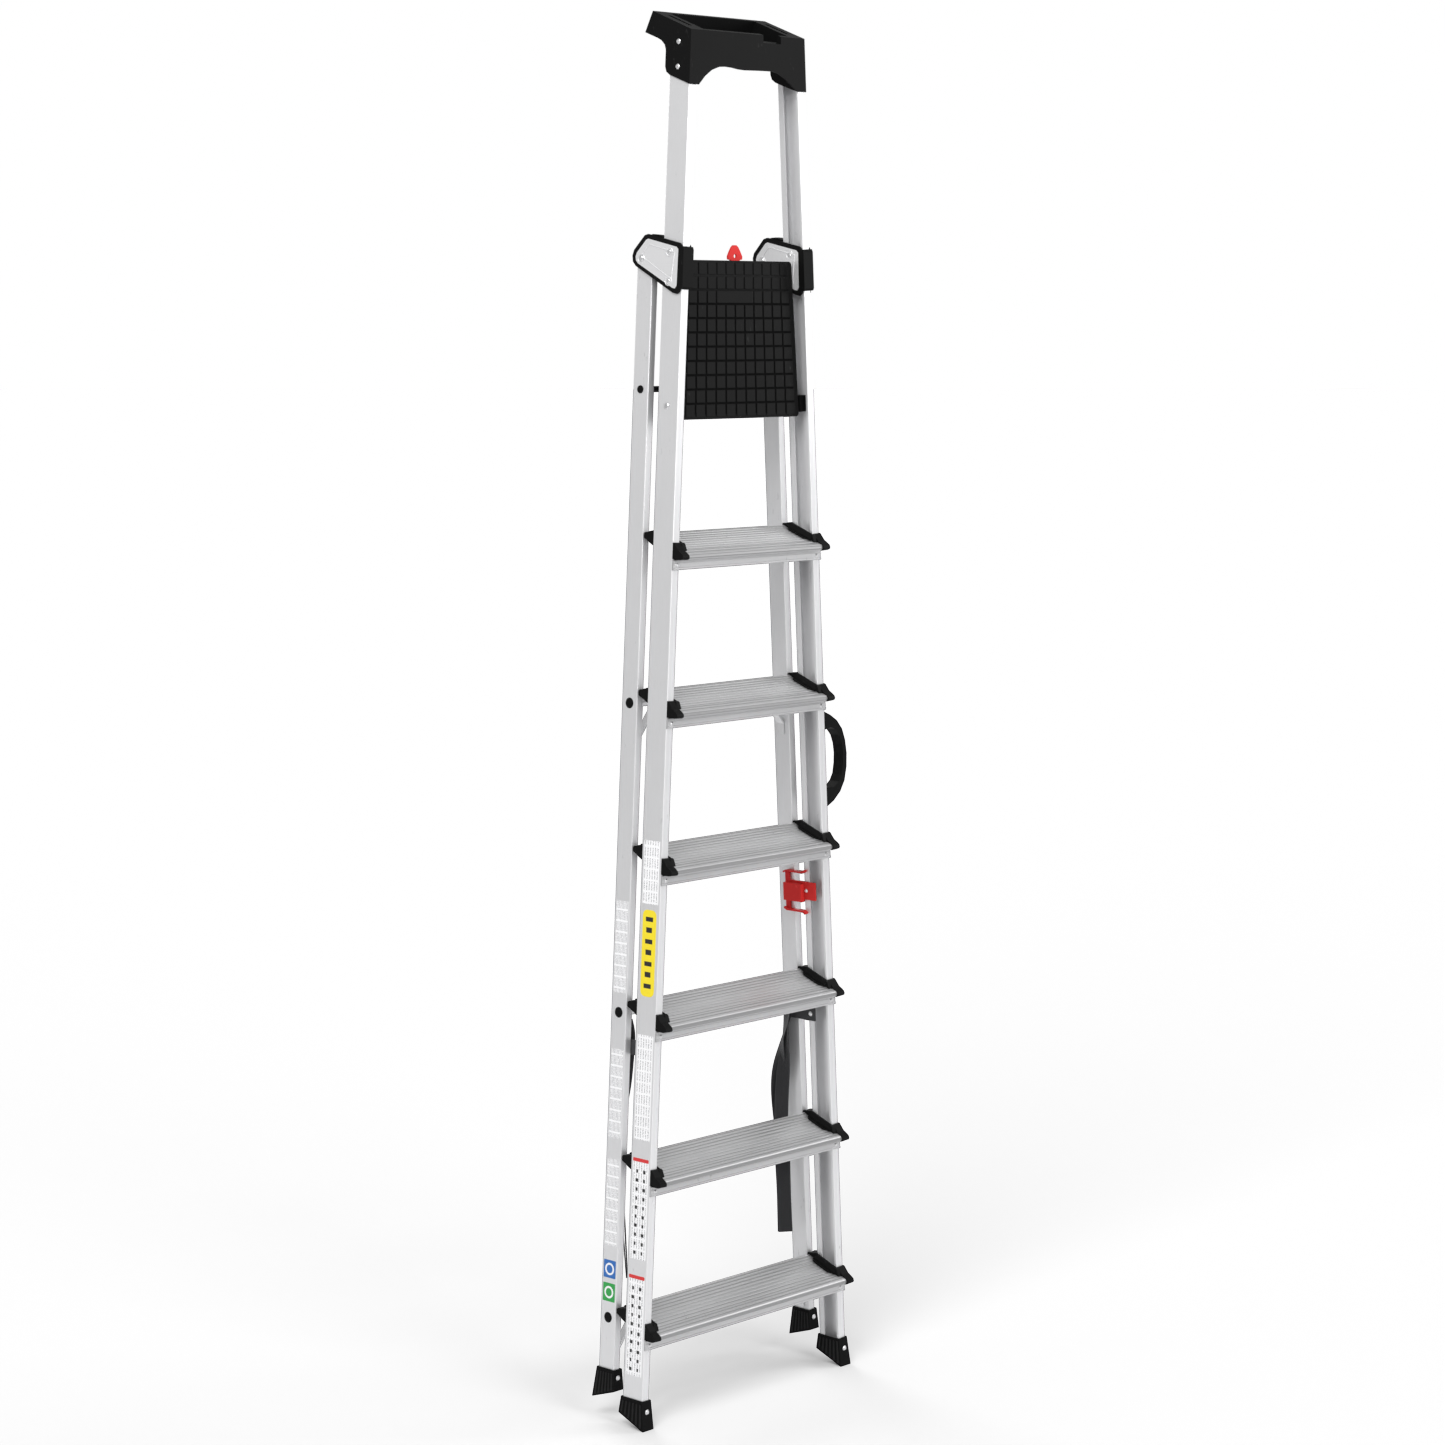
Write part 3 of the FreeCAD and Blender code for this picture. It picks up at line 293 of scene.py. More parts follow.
def platform_moulding():
    """The platform's moulding, with painted shade darkening the narrow channels between its raised
    pads.
    """
    finish = Finish("black platform moulding")
    field_half, field_narrowing = 138.0, 0.055  # of the padded field: half width, loss per mm
    field_front, field_rear = 16.5, 236.5       # from the platform's pivot, forwards and back
    tread_face = 20.0                           # anything nearer the front than this faces out
    pits = finish.noise(700.0, 3.0)
    flow = finish.noise(12.0, 3.0, (1, 1, 0.4))
    along = finish.axis(2) - DECK_PIVOT.z / MM
    across = (finish.axis(0) - MIDDLE / MM).size()
    inside = (field_half - along * field_narrowing - across).smooth(0.0, 4.0)
    ends = (along + field_front).smooth(0.0, 2.0) * (field_rear - along).smooth(0.0, 2.0)
    facing = (FACE / MM + tread_face - finish.axis(1)).smooth(0.0, 1.0)
    # Painted shade: the narrow channels between the pads are painted near black as the shade that
    # falls in them.
    channel = inside * ends * facing
    colour = finish.mix(flow, grey(0.004), grey(0.0065))
    colour = finish.mix(channel, colour, grey(0.001))
    rough = pits * 0.12 + flow * 0.10 + channel * 0.3 + 0.42
    return finish.surface(colour, rough, pits, 0.3, 0.00012, Specular_IOR_Level=0.08)


def rivet_metal():
    """Bright formed rivets with turning marks and a grey bloom."""
    finish = Finish("bright rivet metal")
    bloom = finish.noise(260.0, 4.0)
    marks = finish.noise(1500.0, 2.0)
    colour = finish.mix(bloom, grey(0.62), grey(0.86))
    return finish.surface(colour, bloom * 0.22 + 0.2, marks, 0.12, 0.0001, Metallic=0.9)


def strap_webbing():
    """Woven strap: a herringbone of threads along and across, read from the strap's own UV map."""
    finish = Finish("black woven webbing")
    slants, ribs = 14.0, 28.0                   # across the strap's width
    threads = 620.0                             # along each metre
    cloth = finish.node("ShaderNodeUVMap", {"uv_map": "weave"})["UV"]
    split = finish.node("ShaderNodeSeparateXYZ", None, {"Vector": cloth})
    over, along = split[0], split[1]
    slant = (over * slants).wrapped() - 0.5
    thread = (along * threads + slant.size() * 1.6).wrapped() - 0.5
    rib = (over * ribs).wrapped() - 0.5
    ridge = (0.5 - thread.size()) * 1.2 + (0.5 - rib.size()) * 0.8
    fuzz = finish.noise(2600.0, 2.0)
    edge = (over - 0.5).size().smooth(0.40, 0.47)
    colour = finish.mix(ridge.held(), (0.006, 0.006, 0.007, 1), (0.034, 0.034, 0.037, 1))
    colour = finish.mix(edge * 0.6, colour, (0.045, 0.045, 0.048, 1))
    return finish.surface(colour, 0.82 - ridge * 0.12, ridge + fuzz * 0.25, 0.6, 0.0005,
                          Specular_IOR_Level=0.25, Sheen_Weight=0.25)


def label_film(name, ground, ink=None, pitch=0.0, weight=0.0, breakup=0.0):
    """Film on a coloured ground with slight fading.

    With ink it carries blocks of plain marks, not letters: columns at pitch, weight of it inked,
    broken up more as breakup rises.
    """
    finish = Finish(name)
    fade = finish.noise(40.0, 3.0)
    colour = finish.mix(fade, ground, tuple(channel * 0.9 for channel in ground[:3]) + (1.0,))
    if ink:
        blocks_per_mm, gap = 0.052, 0.16
        height, depth = finish.axis(2), finish.axis(1)
        column = (depth * (1 / pitch)).wrapped().over(1 - weight)
        flat = finish.node("ShaderNodeCombineXYZ", None, {0: depth * MM, 2: height * MM})["Vector"]
        marks = finish.node("ShaderNodeTexNoise", None, {
            "Vector": flat, "Scale": 700.0, "Detail": 1.0})["Fac"].over(breakup)
        paragraph = (height * blocks_per_mm).wrapped().over(gap)
        colour = finish.mix(column * marks * paragraph * 0.8, colour, ink)
    return finish.surface(colour, fade * 0.1 + 0.32, fade, 0.05, 0.0002, Specular_IOR_Level=0.5)


def floor_paint():
    """Plain pale paint, seen only through the shadows it takes."""
    finish = Finish("pale floor")
    cloud = finish.noise(1.5, 2.0)
    colour = finish.mix(cloud, grey(0.66), grey(0.69))
    return finish.surface(colour, 0.7, cloud, 0.02)


# The last number of an extrusion is the axis it was drawn along: 0 x, 1 y, 2 z.
RAIL_METAL = extruded_aluminium("drawn rail aluminium", 0.79, 2)
BAR_METAL = extruded_aluminium("drawn bar aluminium", 0.80, 0)
PLATE_METAL = extruded_aluminium("pressed plate", 0.86, 1)
TREAD_METAL = tread_aluminium()
RIVET_METAL = rivet_metal()
BLACK = moulded_plastic("black moulding", grey(0.003), grey(0.005), 0.5)
RUBBER = moulded_plastic("black rubber", grey(0.0025), grey(0.004), 0.6, 600.0)
PAD_BLACK = moulded_plastic("black platform pads", grey(0.004), grey(0.0065), 0.5, 700.0)
DECK_BLACK = platform_moulding()
GRIP_RUBBER = moulded_plastic("rubber grips", grey(0.011), grey(0.018), 0.5, 600.0)
RED = moulded_plastic("red moulding", (0.52, 0.022, 0.022, 1), (0.62, 0.035, 0.032, 1), 0.38)
WEBBING = strap_webbing()
WHITE_FILM = label_film("white printed film", grey(0.95), (0.20, 0.20, 0.21, 1), 6.0, 0.45, 0.50)
DENSE_FILM = label_film("closely printed film", grey(0.95), (0.34, 0.34, 0.35, 1), 3.2, 0.55, 0.42)
PLAIN_FILM = label_film("plain white film", grey(0.92))
YELLOW_FILM = label_film("yellow film", (0.92, 0.74, 0.02, 1))
RED_FILM = label_film("red film", (0.66, 0.03, 0.03, 1))
BLUE_FILM = label_film("blue film", (0.02, 0.14, 0.46, 1))
GREEN_FILM = label_film("green film", (0.02, 0.33, 0.06, 1))
BLACK_INK = label_film("black print", grey(0.012))

# Each CAD node takes the first finish here that its name starts with.
FINISHES = [
    (("front_rail", "rear_rail"), RAIL_METAL),
    (("cross_bar",), BAR_METAL),
    (("tread_rivets", "tray_rivets", "hinge_rivets", "inner_rivets", "front_foot_rivets",
      "rear_foot_rivets", "strap_rear_rivets", "fold_pins", "platform_pins"), RIVET_METAL),
    (("hinge_cover",), PLATE_METAL),
    (("tread_cap", "tool_tray", "hinge_housing", "carry_handle", "platform_bracket", "rail_plugs",
      "platform_rest_bar"), BLACK),
    (("platform_deck",), DECK_BLACK),
    (("front_foot", "rear_foot"), RUBBER),
    (("closing_catch", "platform_latch"), RED),
    (("strap",), WEBBING),
    (("tread",), TREAD_METAL),
]


def finish_for(node_name):
    for starts, material in FINISHES:
        if node_name.startswith(starts):
            return material
    raise RuntimeError("no finish for " + node_name)


for node_name, obj in frame["nodes"].items():
    material = finish_for(node_name)
    if not obj.material_slots:
        obj.data.materials.append(material)
    for slot in obj.material_slots:
        slot.material = material


# ---------------------------------------------------------------- mesh making
def new_piece(name, mesh, material, body):
    """Puts a mesh in the scene, riding on a body and painted from a slot."""
    piece = bpy.data.objects.new(name, mesh)
    bpy.context.scene.collection.objects.link(piece)
    if not mesh.materials:
        mesh.materials.append(material)
    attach(piece, body)
    return piece


def soft_block(width, height, depth, edge):
    """A block standing on z = 0 with rounded upright corners and a chamfered top."""
    rounds = 2
    shape = bmesh.new()
    corners = []
    radius = min(edge * 1.6, width / 2 - 0.01, height / 2 - 0.01)
    for cx, cy, start in ((1, 1, 0), (-1, 1, 90), (-1, -1, 180), (1, -1, 270)):
        for i in range(rounds + 1):
            turn = math.radians(start + 90 * i / rounds)
            corners.append(((width / 2 - radius) * cx + radius * math.cos(turn),
                            (height / 2 - radius) * cy + radius * math.sin(turn)))
    rings = []
    for level, inset in ((0.0, 0.0), (depth - edge * 0.6, 0.0), (depth, edge)):
        ring = []
        for x, y in corners:
            kx, ky = 1 - 2 * inset / width, 1 - 2 * inset / height
            ring.append(shape.verts.new(Vector((x * kx, y * ky, level)) * MM))
        rings.append(ring)
    count = len(corners)
    for low, high in zip(rings, rings[1:]):
        for i in range(count):
            shape.faces.new((low[i], low[(i + 1) % count], high[(i + 1) % count], high[i]))
    shape.faces.new(rings[-1])
    shape.faces.new(list(reversed(rings[0])))
    mesh = bpy.data.meshes.new("stamp")
    shape.to_mesh(mesh)
    shape.free()
    return mesh


def spread_tree():
    """Geometry Nodes: sets a stamp on every vertex, turned and sized by that vertex."""
    tree = bpy.data.node_groups.new("spread stamps", "GeometryNodeTree")
    for name, kind in (("Spots", "NodeSocketGeometry"), ("Stamp", "NodeSocketObject"),
                       ("Finish", "NodeSocketMaterial")):
        tree.interface.new_socket(name, in_out="INPUT", socket_type=kind)
    tree.interface.new_socket("Shape", in_out="OUTPUT", socket_type="NodeSocketGeometry")
    nodes, link = tree.nodes, tree.links.new
    given, result = nodes.new("NodeGroupInput"), nodes.new("NodeGroupOutput")
    stamp = nodes.new("GeometryNodeObjectInfo")
    spread = nodes.new("GeometryNodeInstanceOnPoints")
    for attribute, target in (("turn", "Rotation"), ("size", "Scale")):
        stored = nodes.new("GeometryNodeInputNamedAttribute")
        stored.data_type = "FLOAT_VECTOR"
        stored.inputs["Name"].default_value = attribute
        link(stored.outputs["Attribute"], spread.inputs[target])
    real = nodes.new("GeometryNodeRealizeInstances")
    painted = nodes.new("GeometryNodeSetMaterial")
    link(given.outputs["Stamp"], stamp.inputs["Object"])
    link(given.outputs["Spots"], spread.inputs["Points"])
    link(stamp.outputs["Geometry"], spread.inputs["Instance"])
    link(spread.outputs["Instances"], real.inputs["Geometry"])
    link(real.outputs["Geometry"], painted.inputs["Geometry"])
    link(given.outputs["Finish"], painted.inputs["Material"])
    link(painted.outputs["Geometry"], result.inputs["Shape"])
    return tree


SPREAD = spread_tree()


def spread(name, stamp_mesh, spots, material, body, slot):
    """A piece made of one stamp repeated at spots: (point, turn, size)."""
    points = bpy.data.meshes.new(name + "_spots")
    points.from_pydata([spot[0] for spot in spots], [], [])
    for key, index in (("turn", 1), ("size", 2)):
        layer = points.attributes.new(key, "FLOAT_VECTOR", "POINT")
        layer.data.foreach_set("vector", [c for spot in spots for c in spot[index]])
    scene = bpy.context.scene
    holder = bpy.data.objects.new(name + "_holder", points)
    stamp = bpy.data.objects.new(name + "_stamp", stamp_mesh)
    scene.collection.objects.link(holder)
    scene.collection.objects.link(stamp)
    nodes = holder.modifiers.new("spread", "NODES")
    nodes.node_group = SPREAD
    values = {"Stamp": stamp, "Finish": material}
    for socket in SPREAD.interface.items_tree:
        if socket.in_out == "INPUT" and socket.name in values:
            nodes[socket.identifier] = values[socket.name]
    graph = bpy.context.evaluated_depsgraph_get()
    mesh = bpy.data.meshes.new_from_object(holder.evaluated_get(graph))
    bpy.data.objects.remove(holder)
    bpy.data.objects.remove(stamp)
    for leftover in ("turn", "size"):
        if leftover in mesh.attributes:
            mesh.attributes.remove(mesh.attributes[leftover])
    return new_piece(name, mesh, material, body)


def turn_to(x_axis, z_axis):
    """Euler angles whose x and z run along two directions."""
    z = Vector(z_axis).normalized()
    y = z.cross(Vector(x_axis)).normalized()
    x = y.cross(z)
    return Matrix((x, y, z)).transposed().to_euler()


ONE = (1.0, 1.0, 1.0)


# ---------------------------------------------------------------- platform tread pads
def platform_pads():
    """Raised pads in rows and columns that close up towards the narrower rear edge.

    A row near the rear edge has one long plain pad in the place of four.
    """
    rows, columns = 11, 11
    first, last = -9.0, 230.0                   # of the rows, from the platform's pivot
    margin = 21.0                               # from the platform's edge to a row's end
    even_half, long_half = 126.0, 26.6          # row half widths at which a pad keeps its length
    plain_row, plain_first, plain_last = rows - 3, 3, 6
    level = DECK_SURFACE - 0.05
    face = turn_to((1, 0, 0), DECK_OUT)
    spots = []
    for row in range(rows):
        along = first + (last - first) * row / (rows - 1)
        half = deck_half_width(along) - margin
        for column in range(columns):
            across = half * (2.0 * column / (columns - 1) - 1.0)
            if row != plain_row or not plain_first <= column <= plain_last:
                spots.append((on_deck(along, across, level), face, (half / even_half, 1.0, 1.0)))
            elif column == plain_first:
                middle = across + 1.5 * half * 2.0 / (columns - 1)
                spots.append((on_deck(along, middle, level), face, (half / long_half, 1.0, 1.0)))
    return spread("platform_pads", soft_block(20.9, 20.4, 1.5, 0.6), spots, PAD_BLACK, "platform",
                  "black_plastic")


def platform_border():
    """A low bead round the tread surface."""
    front, rear, margin = -19.5, 239.5, 4.0
    wide, tall = 1.4, 0.9
    level = DECK_SURFACE - 0.05
    corners = []
    for along, sign in ((front, -1), (front, 1), (rear, 1), (rear, -1)):
        corners.append(on_deck(along, sign * (deck_half_width(along) - margin), level))
    shape = bmesh.new()
    for start, end in zip(corners, corners[1:] + corners[:1]):
        bead(shape, start, end, wide, tall, DECK_OUT)
    return from_bmesh("platform_border", shape, PAD_BLACK, "platform")


# A bead's rounded section: across in widths, up in heights.
BEAD_SECTION = ((-0.5, 0.0), (-0.42, 0.55), (-0.22, 0.93), (0.22, 0.93), (0.42, 0.55), (0.5, 0.0))


def bead(shape, start, end, wide, tall, out, taper=1.0):
    """A low rounded rib from start to end, standing on a surface that faces out."""
    along = (end - start).normalized()
    side = out.cross(along).normalized()
    rings = []
    for point, scale in ((start, 1.0), (end, taper)):
        rings.append([
            shape.verts.new(point + side * (u * wide * scale * MM) + out * (v * tall * MM))
            for u, v in BEAD_SECTION])
    join(shape, rings[0], rings[1])
    cap(shape, rings[0], rings[1])


def join(shape, low, high):
    """Walls between two rings of the same number of points."""
    count = len(low)
    for i in range(count):
        j = (i + 1) % count
        shape.faces.new((low[i], low[j], high[j], high[i]))


def cap(shape, first, last):
    """Closes the two ends of a run of rings."""
    shape.faces.new(list(reversed(first)))
    shape.faces.new(last)


def from_bmesh(name, shape, material, body):
    """Turns a finished shape into a piece."""
    bmesh.ops.recalc_face_normals(shape, faces=shape.faces[:])
    mesh = bpy.data.meshes.new(name)
    shape.to_mesh(mesh)
    shape.free()
    return new_piece(name, mesh, material, body)


# ---------------------------------------------------------------- feet
RIBS_PER_FACE = 6
RIB_WIDE, RIB_TALL, RIB_SPREAD = 3.6, 1.5, 1.25
# A boot's broad faces: which way one looks, and its offset from the rail's outer face at the
# boot's mouth and at its lowest point.
BOOT_FACES = ((1, 2.0, 4.0), (-1, -18.5, -22.5))


def foot_ribs(name, body, top, low, toe, heel, front, rear, sole_at, sole_slope):
    """Upright grips on a boot's broad faces, fanned from its mouth to its sole.

    The boot reaches from top down to low. Its mouth runs from front to rear, and its sole from toe
    to heel, starting at height sole_at and sloping by sole_slope.
    """
    below_mouth, above_sole, sunk = 6.0, 3.0, 0.3
    shape = bmesh.new()
    for side in (LEFT, RIGHT):
        for outward, off_top, off_low in BOOT_FACES:
            out = Vector((side * outward, 0, 0.05)).normalized()
            for i in range(RIBS_PER_FACE):
                share = (i + 0.6) / (RIBS_PER_FACE + 0.2)
                y_top = front + (rear - front) * share
                y_low = toe + (heel - toe) * share
                z_top = top - below_mouth
                z_low = sole_at + math.tan(sole_slope) * (y_low - toe) + above_sole
                y_end = y_top + (y_low - y_top) * ((z_top - z_low) / (top - low))
                off_end = off_top + (off_low - off_top) * (top - z_low) / (top - low)
                off_start = off_top + (off_low - off_top) * (top - z_top) / (top - low)
                start = on_side(side, off_start - sunk * outward, y_top, z_top)
                end = on_side(side, off_end - sunk * outward, y_end, z_low)
                bead(shape, start, end, RIB_WIDE, RIB_TALL, out, RIB_SPREAD)
    return from_bmesh(name, shape, GRIP_RUBBER, body)


# ---------------------------------------------------------------- hinge plates
def hinge_beads():
    """The pressed outline and rivet rings on each hinge cover, placed from the fold's pivot."""
    pivot_z = FOLD_PIVOT.z / MM
    panel = ((17.0, 9.0), (77.0, 23.6), (95.0, 4.0), (23.0, -35.0))
    rivets = ((29.0, 10.1), (28.8, -38.2), (94.0, 0.0))
    ring_radius, ring_steps, sunk = 7.4, 16, 0.15
    turns = [2 * math.pi * i / ring_steps for i in range(ring_steps)]
    for side, label in SIDES:
        shape = bmesh.new()
        for off, outward in ((3.9, 1), (-20.4, -1)):
            out = Vector((side * outward, 0, 0))
            level = off - sunk * outward
            points = [on_side(side, level, y, pivot_z + z) for y, z in panel]
            for start, end in zip(points, points[1:] + points[:1]):
                bead(shape, start, end, 2.2, 0.8, out)
            for y, z in rivets:
                ring = [on_side(side, level, y + ring_radius * math.cos(turn),
                                pivot_z + z + ring_radius * math.sin(turn)) for turn in turns]
                for start, end in zip(ring, ring[1:] + ring[:1]):
                    bead(shape, start, end, 1.5, 0.6, out)
        from_bmesh("hinge_beads_" + label, shape, PLATE_METAL, "front_section")


# ---------------------------------------------------------------- labels
def film(name, body, off, y_range, z_range, material, radius):
    """A thin label on the outer face of a left rail, following its lean."""
    sunk, lift, corner_steps = 0.05, 0.25, 4
    (y0, y1), (z0, z1) = y_range, z_range
    outline = []
    for cy, cz, start in ((y1 - radius, z1 - radius, 0), (y0 + radius, z1 - radius, 90),
                          (y0 + radius, z0 + radius, 180), (y1 - radius, z0 + radius, 270)):
        for i in range(corner_steps + 1):
            turn = math.radians(start + 90 * i / corner_steps)
            outline.append((cy + radius * math.cos(turn), cz + radius * math.sin(turn)))
    shape = bmesh.new()
    rings = [[shape.verts.new(on_side(LEFT, level, y, z)) for y, z in outline]
             for level in (off - sunk, off + lift)]
    join(shape, rings[0], rings[1])
    cap(shape, rings[0], rings[1])
    return from_bmesh(name, shape, material, body)


FILM_CORNER, FILM_DEPTHS = 1.5, (4.5, 41.5)
# Films on the front rail: title, offset from its face, depths, heights, finish, corner radius.
FRONT_FILMS = (
    ("maker", 0.0, FILM_DEPTHS, (903, 1011), WHITE_FILM, FILM_CORNER),
    ("yellow", 0.0, (7.0, 39.0), (745, 893), YELLOW_FILM, 10.0),
    ("data", 0.0, FILM_DEPTHS, (499, 679), WHITE_FILM, FILM_CORNER),
    ("use_upper", 0.0, FILM_DEPTHS, (293, 467), WHITE_FILM, FILM_CORNER),
    ("use_lower", 0.0, FILM_DEPTHS, (91, 265), WHITE_FILM, FILM_CORNER),
    ("head_upper", 0.25, FILM_DEPTHS, (461, 467), RED_FILM, FILM_CORNER),
    ("head_lower", 0.25, FILM_DEPTHS, (259, 265), RED_FILM, FILM_CORNER),
)
# Films on the rear rail: title, heights, finish.
REAR_SIGNS = (("blue", (248, 279), BLUE_FILM), ("green", (207, 239), GREEN_FILM))
REAR_FILMS = (("text_1", (743, 901), DENSE_FILM), ("text_2", (491, 646), DENSE_FILM),
              ("text_3", (304, 455), DENSE_FILM)) + REAR_SIGNS


def labels():
    """Plain films in the places of printed ones, with bars, marks and rings but no lettering."""
    rear_off, rear_depths = -0.8, (REAR_FRONT + 3.5, REAR_BACK - 3.5)
    for title, off, depths, heights, material, radius in FRONT_FILMS:
        film("label_front_" + title, "front_section", off, depths, heights, material, radius)
    for title, heights, material in REAR_FILMS:
        film("label_rear_" + title, "rear_section", rear_off, rear_depths, heights, material,
             FILM_CORNER)

    flat = turn_to((0, 1, 0), (-1, 0, 0))
    bar_count, bar_depth, bar_first, bar_pitch = 7, 23.0, 762.0, 19.0
    bar_sizes = (ONE, (0.8, 1.25, 1.0))
    bars = [(on_side(LEFT, 0.2, bar_depth, bar_first + i * bar_pitch), flat, bar_sizes[i % 2])
            for i in range(bar_count)]
    spread("label_yellow_bars", soft_block(17.0, 10.0, 0.2, 0.12), bars, BLACK_INK,
           "front_section", "aluminium")

    mark_rows, row_pitch, mark_bases = 10, 15.6, (300.0, 98.0)
    column_first, column_pitch = 14.0, 17.0
    marks = []
    for i in range(mark_rows):
        for column in (0, 1):
            depth = column_first + column * column_pitch
            wide = 0.7 + 0.5 * ((i * 7 + column * 3) % 5) / 4
            for base in mark_bases:
                point = on_side(LEFT, 0.2, depth, base + i * row_pitch + 4.0)
                marks.append((point, flat, (wide, 1.0, 1.0)))
    spread("label_use_marks", soft_block(5.4, 6.0, 0.2, 0.12), marks, BLACK_INK,
           "front_section", "aluminium")

    ring_off, ring_radius, ring_steps = -0.6, 9.0, 20
    ring = []
    for _, (low, high), _ in REAR_SIGNS:
        for i in range(ring_steps):
            turn = 2 * math.pi * i / ring_steps
            y = sum(rear_depths) / 2 + ring_radius * math.cos(turn)
            z = (low + high) / 2 + ring_radius * math.sin(turn)
            ring.append((on_side(LEFT, ring_off, y, z), flat, ONE))
    spread("label_rear_rings", soft_block(3.4, 3.4, 0.2, 0.1), ring, PLAIN_FILM, "rear_section",
           "aluminium")


# ---------------------------------------------------------------- straps
def smooth_route(points, steps):
    """A Catmull-Rom line through points."""
    ends = [points[0] * 2 - points[1]] + list(points) + [points[-1] * 2 - points[-2]]
    route = []
    for i in range(1, len(ends) - 2):
        p0, p1, p2, p3 = ends[i - 1:i + 3]
        for j in range(steps):
            t = j / steps
            route.append(0.5 * ((2 * p1) + (p2 - p0) * t + (2 * p0 - 5 * p1 + 4 * p2 - p3) * t * t
                                + (3 * p1 - p0 - 3 * p2 + p3) * t ** 3))
    route.append(points[-1])
    return route


def webbing(name, body, route, widths, replaced):
    """A flat woven band. Its width direction goes through widths in the first three quarters."""
    half, thick = 12.5 * MM, 1.5 * MM
    row = (-1.0, -0.5, 0.0, 0.5, 1.0)           # points across the band, in half widths
    path = smooth_route(route, 10)
    shape = bmesh.new()
    uv = shape.loops.layers.uv.new("weave")
    rings = []
    travelled = 0.0
    for i, point in enumerate(path):
        before, after = path[max(i - 1, 0)], path[min(i + 1, len(path) - 1)]
        along = (after - before).normalized()
        share = i / (len(path) - 1)
        step = min(share * 4.0, len(widths) - 1.001)
        before_it, part = int(step), step % 1.0
        across = widths[before_it] * (1 - part) + widths[before_it + 1] * part
        across = (across - along * across.dot(along)).normalized()
        face = along.cross(across).normalized()
        if i:
            travelled += (point - path[i - 1]).length
        ring = []
        for u in row:
            ring.append(point + across * (u * half) + face * (thick / 2))
        for u in reversed(row):
            ring.append(point + across * (u * half) - face * (thick / 2))
        rings.append(([shape.verts.new(p) for p in ring], travelled))
    uvs = (0.0, 0.25, 0.5, 0.75, 1.0, 1.0, 0.75, 0.5, 0.25, 0.0)
    for (low, low_s), (high, high_s) in zip(rings, rings[1:]):
        for i in range(len(uvs)):
            j = (i + 1) % len(uvs)
            made = shape.faces.new((low[i], low[j], high[j], high[i]))
            spots = ((uvs[i], low_s), (uvs[j], low_s), (uvs[j], high_s), (uvs[i], high_s))
            for loop, spot in zip(made.loops, spots):
                loop[uv].uv = spot
    cap(shape, rings[0][0], rings[-1][0])
    piece = from_bmesh(name, shape, WEBBING, body)
    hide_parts(replaced)
    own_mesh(piece)
    return piece


# Points down each leg of a strap: the x they are measured from, then how far outwards from it,
# and how far back and up from the leg's pivot.
FRONT_LEG = (("pivot", 0, -6, 8), ("pivot", 0, 2, -25), ("pivot", -2, 12, -80),
             ("pivot", -3, 18, -150), ("loop", 7, 12, -240), ("loop", 4, 6, -310))
REAR_LEG = (("pivot", 0, 0, 10), ("pivot", 0, -2, -25), ("pivot", 0, 6, -100),
            ("pivot", -1, 14, -190), ("pivot", -2, 14, -280), ("loop", 0, 9, -350))


def straps():
    """Each strap hangs as two legs that cross, bowed and twisted into one low loop."""
    front_pivot = JOINTS["strap_front_left_swing"]["pos_m"]
    rear_pivot = JOINTS["strap_rear_left_swing"]["pos_m"]
    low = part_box("strap_front_left")[0][2] / MM + 0.5
    legs = (("front", front_pivot, FRONT_LEG, -1), ("rear", rear_pivot, REAR_LEG, 3))
    front_inset, rear_inset, loop_inset = 21.2, 22.1, 2.0
    rear_x = half_width(rear_pivot[2] / MM) - rear_inset
    for side, label in SIDES:
        flat, edge = Vector((0, 1, 0)), Vector((side * 0.72, 0.69, 0))
        broad = Vector((-side * 0.69, 0.72, 0))
        start_x = {"front": half_width(front_pivot[2] / MM) - front_inset, "rear": rear_x}
        for end, pivot, leg, tip_y in legs:
            y, z = (pivot[1] - FACE) / MM, pivot[2] / MM
            base = {"pivot": side * start_x[end], "loop": side * (rear_x - loop_inset)}
            route = [place(base[start] + side * dx, y + dy, z + dz) for start, dx, dy, dz in leg]
            route.append(place(base["loop"], y + tip_y, low))
            half_name = "strap_%s_%s" % (end, label)
            webbing("strap_web_%s_%s" % (end, label), half_name, route,
                    (flat, edge, broad, broad), half_name)


# ---------------------------------------------------------------- stage, light and camera
def stage():
    """A floor that only takes shadows."""
    half = 80.0                                 # metres
    mesh = bpy.data.meshes.new("floor")
    mesh.from_pydata([(-half, -half, 0), (half, -half, 0), (half, half, 0), (-half, half, 0)], [],
                     [(0, 1, 2, 3)])
    floor = bpy.data.objects.new("floor", mesh)
    mesh.materials.append(floor_paint())
    bpy.context.scene.collection.objects.link(floor)
    floor.is_shadow_catcher = True


# Round lamps: name, place, aim and width in metres, and watts.
LAMPS = (("key", (-3.6, -1.6, 4.6), (0, 0, 1.5), 2.6, 170.0),
         ("front", (-0.6, -4.2, 2.6), (0, 0, 1.2), 2.2, 90.0),
         ("fill", (3.6, -2.4, 2.6), (0, 0, 1.1), 2.0, 40.0),
         ("back", (1.6, 4.2, 3.0), (0, 0, 1.2), 2.4, 60.0))
WORLD_SEEN, WORLD_LIGHT = 1.0, 0.56


def area_light(name, spot, aim, size, power):
    data = bpy.data.lights.new(name, "AREA")
    data.shape, data.size, data.energy = "DISK", size, power
    light = bpy.data.objects.new(name, data)
    light.location = spot
    light.rotation_euler = (Vector(aim) - Vector(spot)).to_track_quat("-Z", "Y").to_euler()
    bpy.context.scene.collection.objects.link(light)


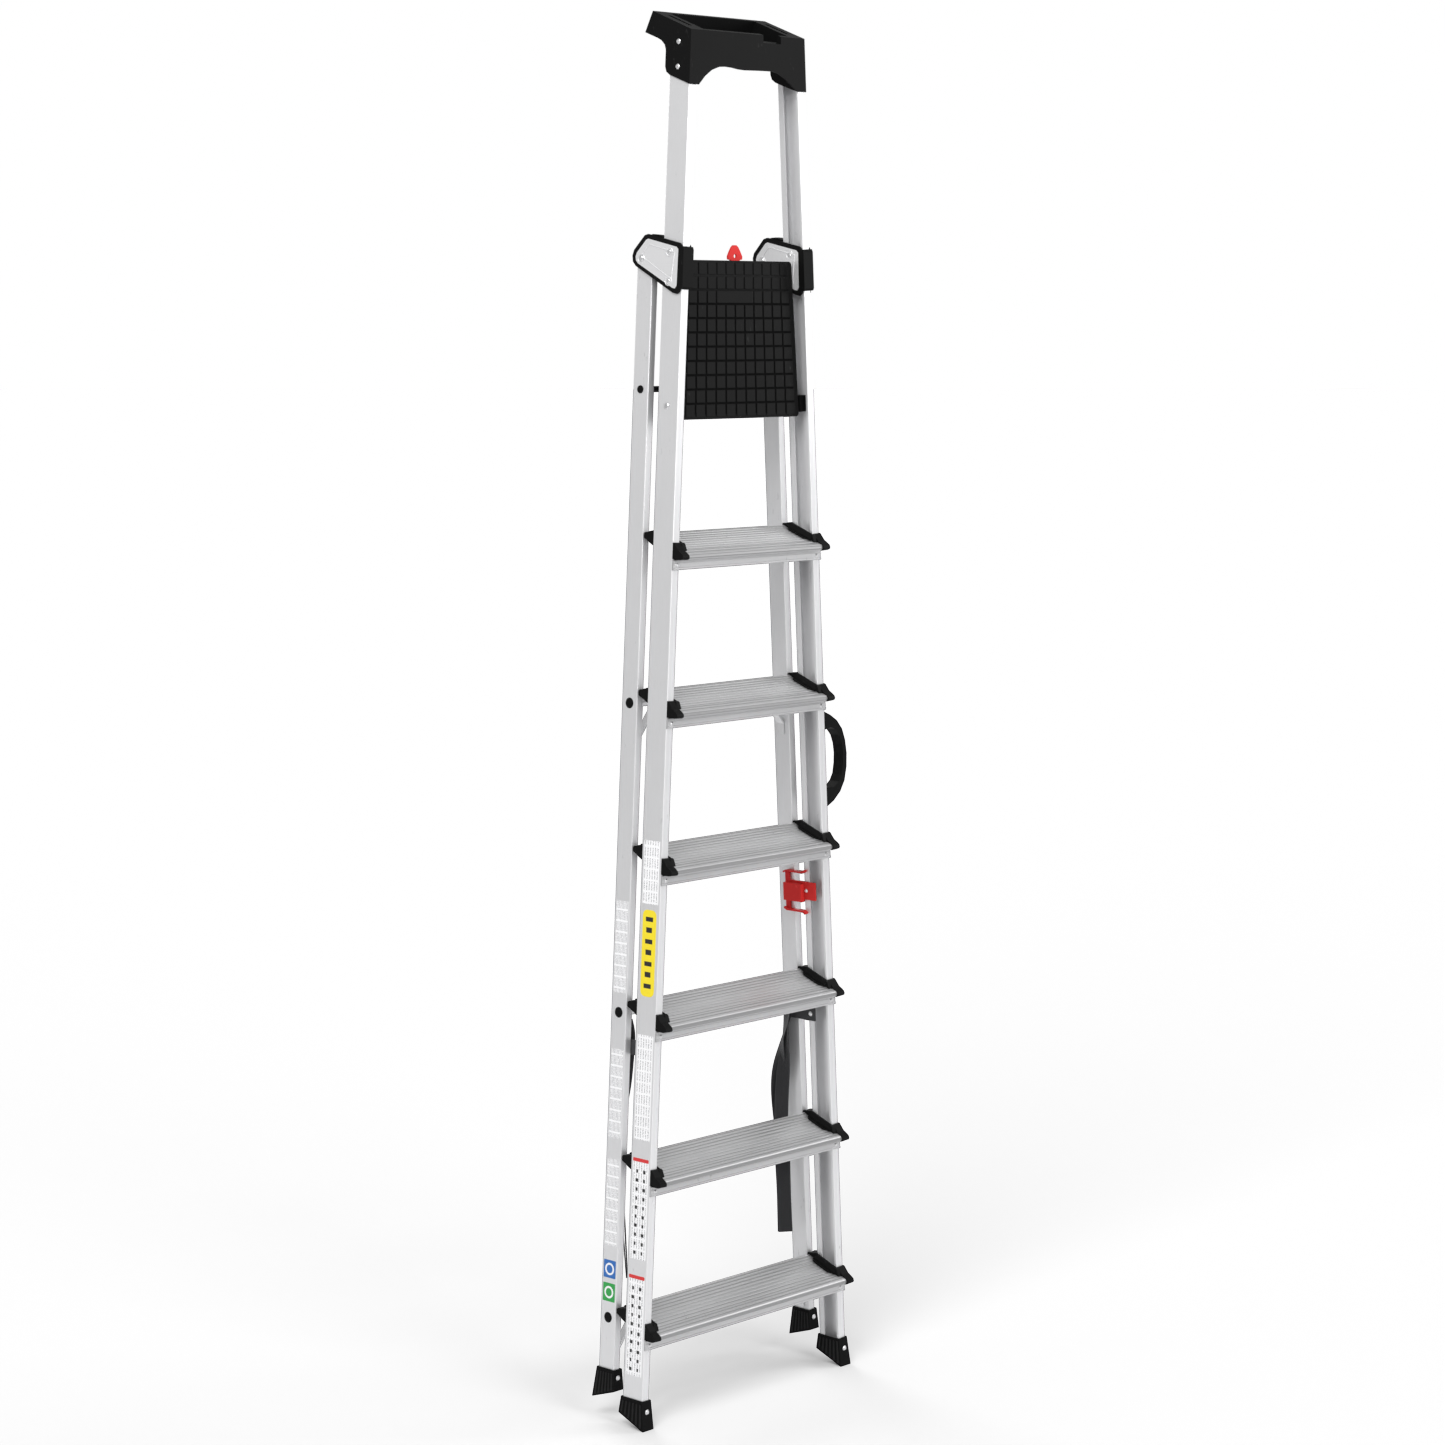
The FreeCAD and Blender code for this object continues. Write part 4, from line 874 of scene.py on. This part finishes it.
def lighting():
    """A white room, full white to the camera and dimmer as a light, and four lamps."""
    world = bpy.data.worlds.new("studio")
    bpy.context.scene.world = world
    world.use_nodes = True
    nodes, link = world.node_tree.nodes, world.node_tree.links.new
    seen, lit = nodes["Background"], nodes.new("ShaderNodeBackground")
    both = nodes.new("ShaderNodeMixShader")
    for background, strength in ((seen, WORLD_SEEN), (lit, WORLD_LIGHT)):
        background.inputs["Color"].default_value = (1.0, 1.0, 1.0, 1.0)
        background.inputs["Strength"].default_value = strength
    link(nodes.new("ShaderNodeLightPath").outputs["Is Camera Ray"], both.inputs["Fac"])
    link(lit.outputs["Background"], both.inputs[1])
    link(seen.outputs["Background"], both.inputs[2])
    link(both.outputs["Shader"], nodes["World Output"].inputs["Surface"])
    for lamp in LAMPS:
        area_light(*lamp)
    bpy.context.scene.view_settings.view_transform = "Standard"


CAMERA_TURN, CAMERA_TILT = math.radians(46.54), math.radians(6.642)
CAMERA_SPOT = (-4277.6, -3994.9, 1877.9)
SENSOR_WIDTH, LENS = 36.0, 85.15


def camera():
    """A view from the front left, from above the ladder's middle and looking a little down."""
    turn, tilt = CAMERA_TURN, CAMERA_TILT
    back = Vector((-math.sin(turn) * math.cos(tilt), -math.cos(turn) * math.cos(tilt),
                   math.sin(tilt)))
    right = Vector((math.cos(turn), -math.sin(turn), 0))
    up = back.cross(right)
    data = bpy.data.cameras.new("camera")
    data.sensor_width, data.lens = SENSOR_WIDTH, LENS
    data.clip_end = 100.0
    holder = bpy.data.objects.new("camera", data)
    bpy.context.scene.collection.objects.link(holder)
    turned = Matrix((right, up, back)).transposed().to_4x4()
    holder.matrix_world = Matrix.Translation(place(*CAMERA_SPOT)) @ turned
    bpy.context.scene.camera = holder


platform_pads()
platform_border()
foot_ribs("front_foot_ribs", "front_section", top=51.0, low=-3.0, toe=-8.0, heel=56.0,
          front=-2.2, rear=RAIL_DEPTH + 2.0, sole_at=0.0, sole_slope=FRONT_SOLE_SLOPE)
foot_ribs("rear_foot_ribs", "rear_section", top=90.0, low=33.0, toe=65.0, heel=117.5,
          front=REAR_FRONT - 2.2, rear=REAR_BACK + 2.0, sole_at=54.3, sole_slope=REAR_SOLE_SLOPE)
hinge_beads()
labels()
straps()
stage()
lighting()
camera()
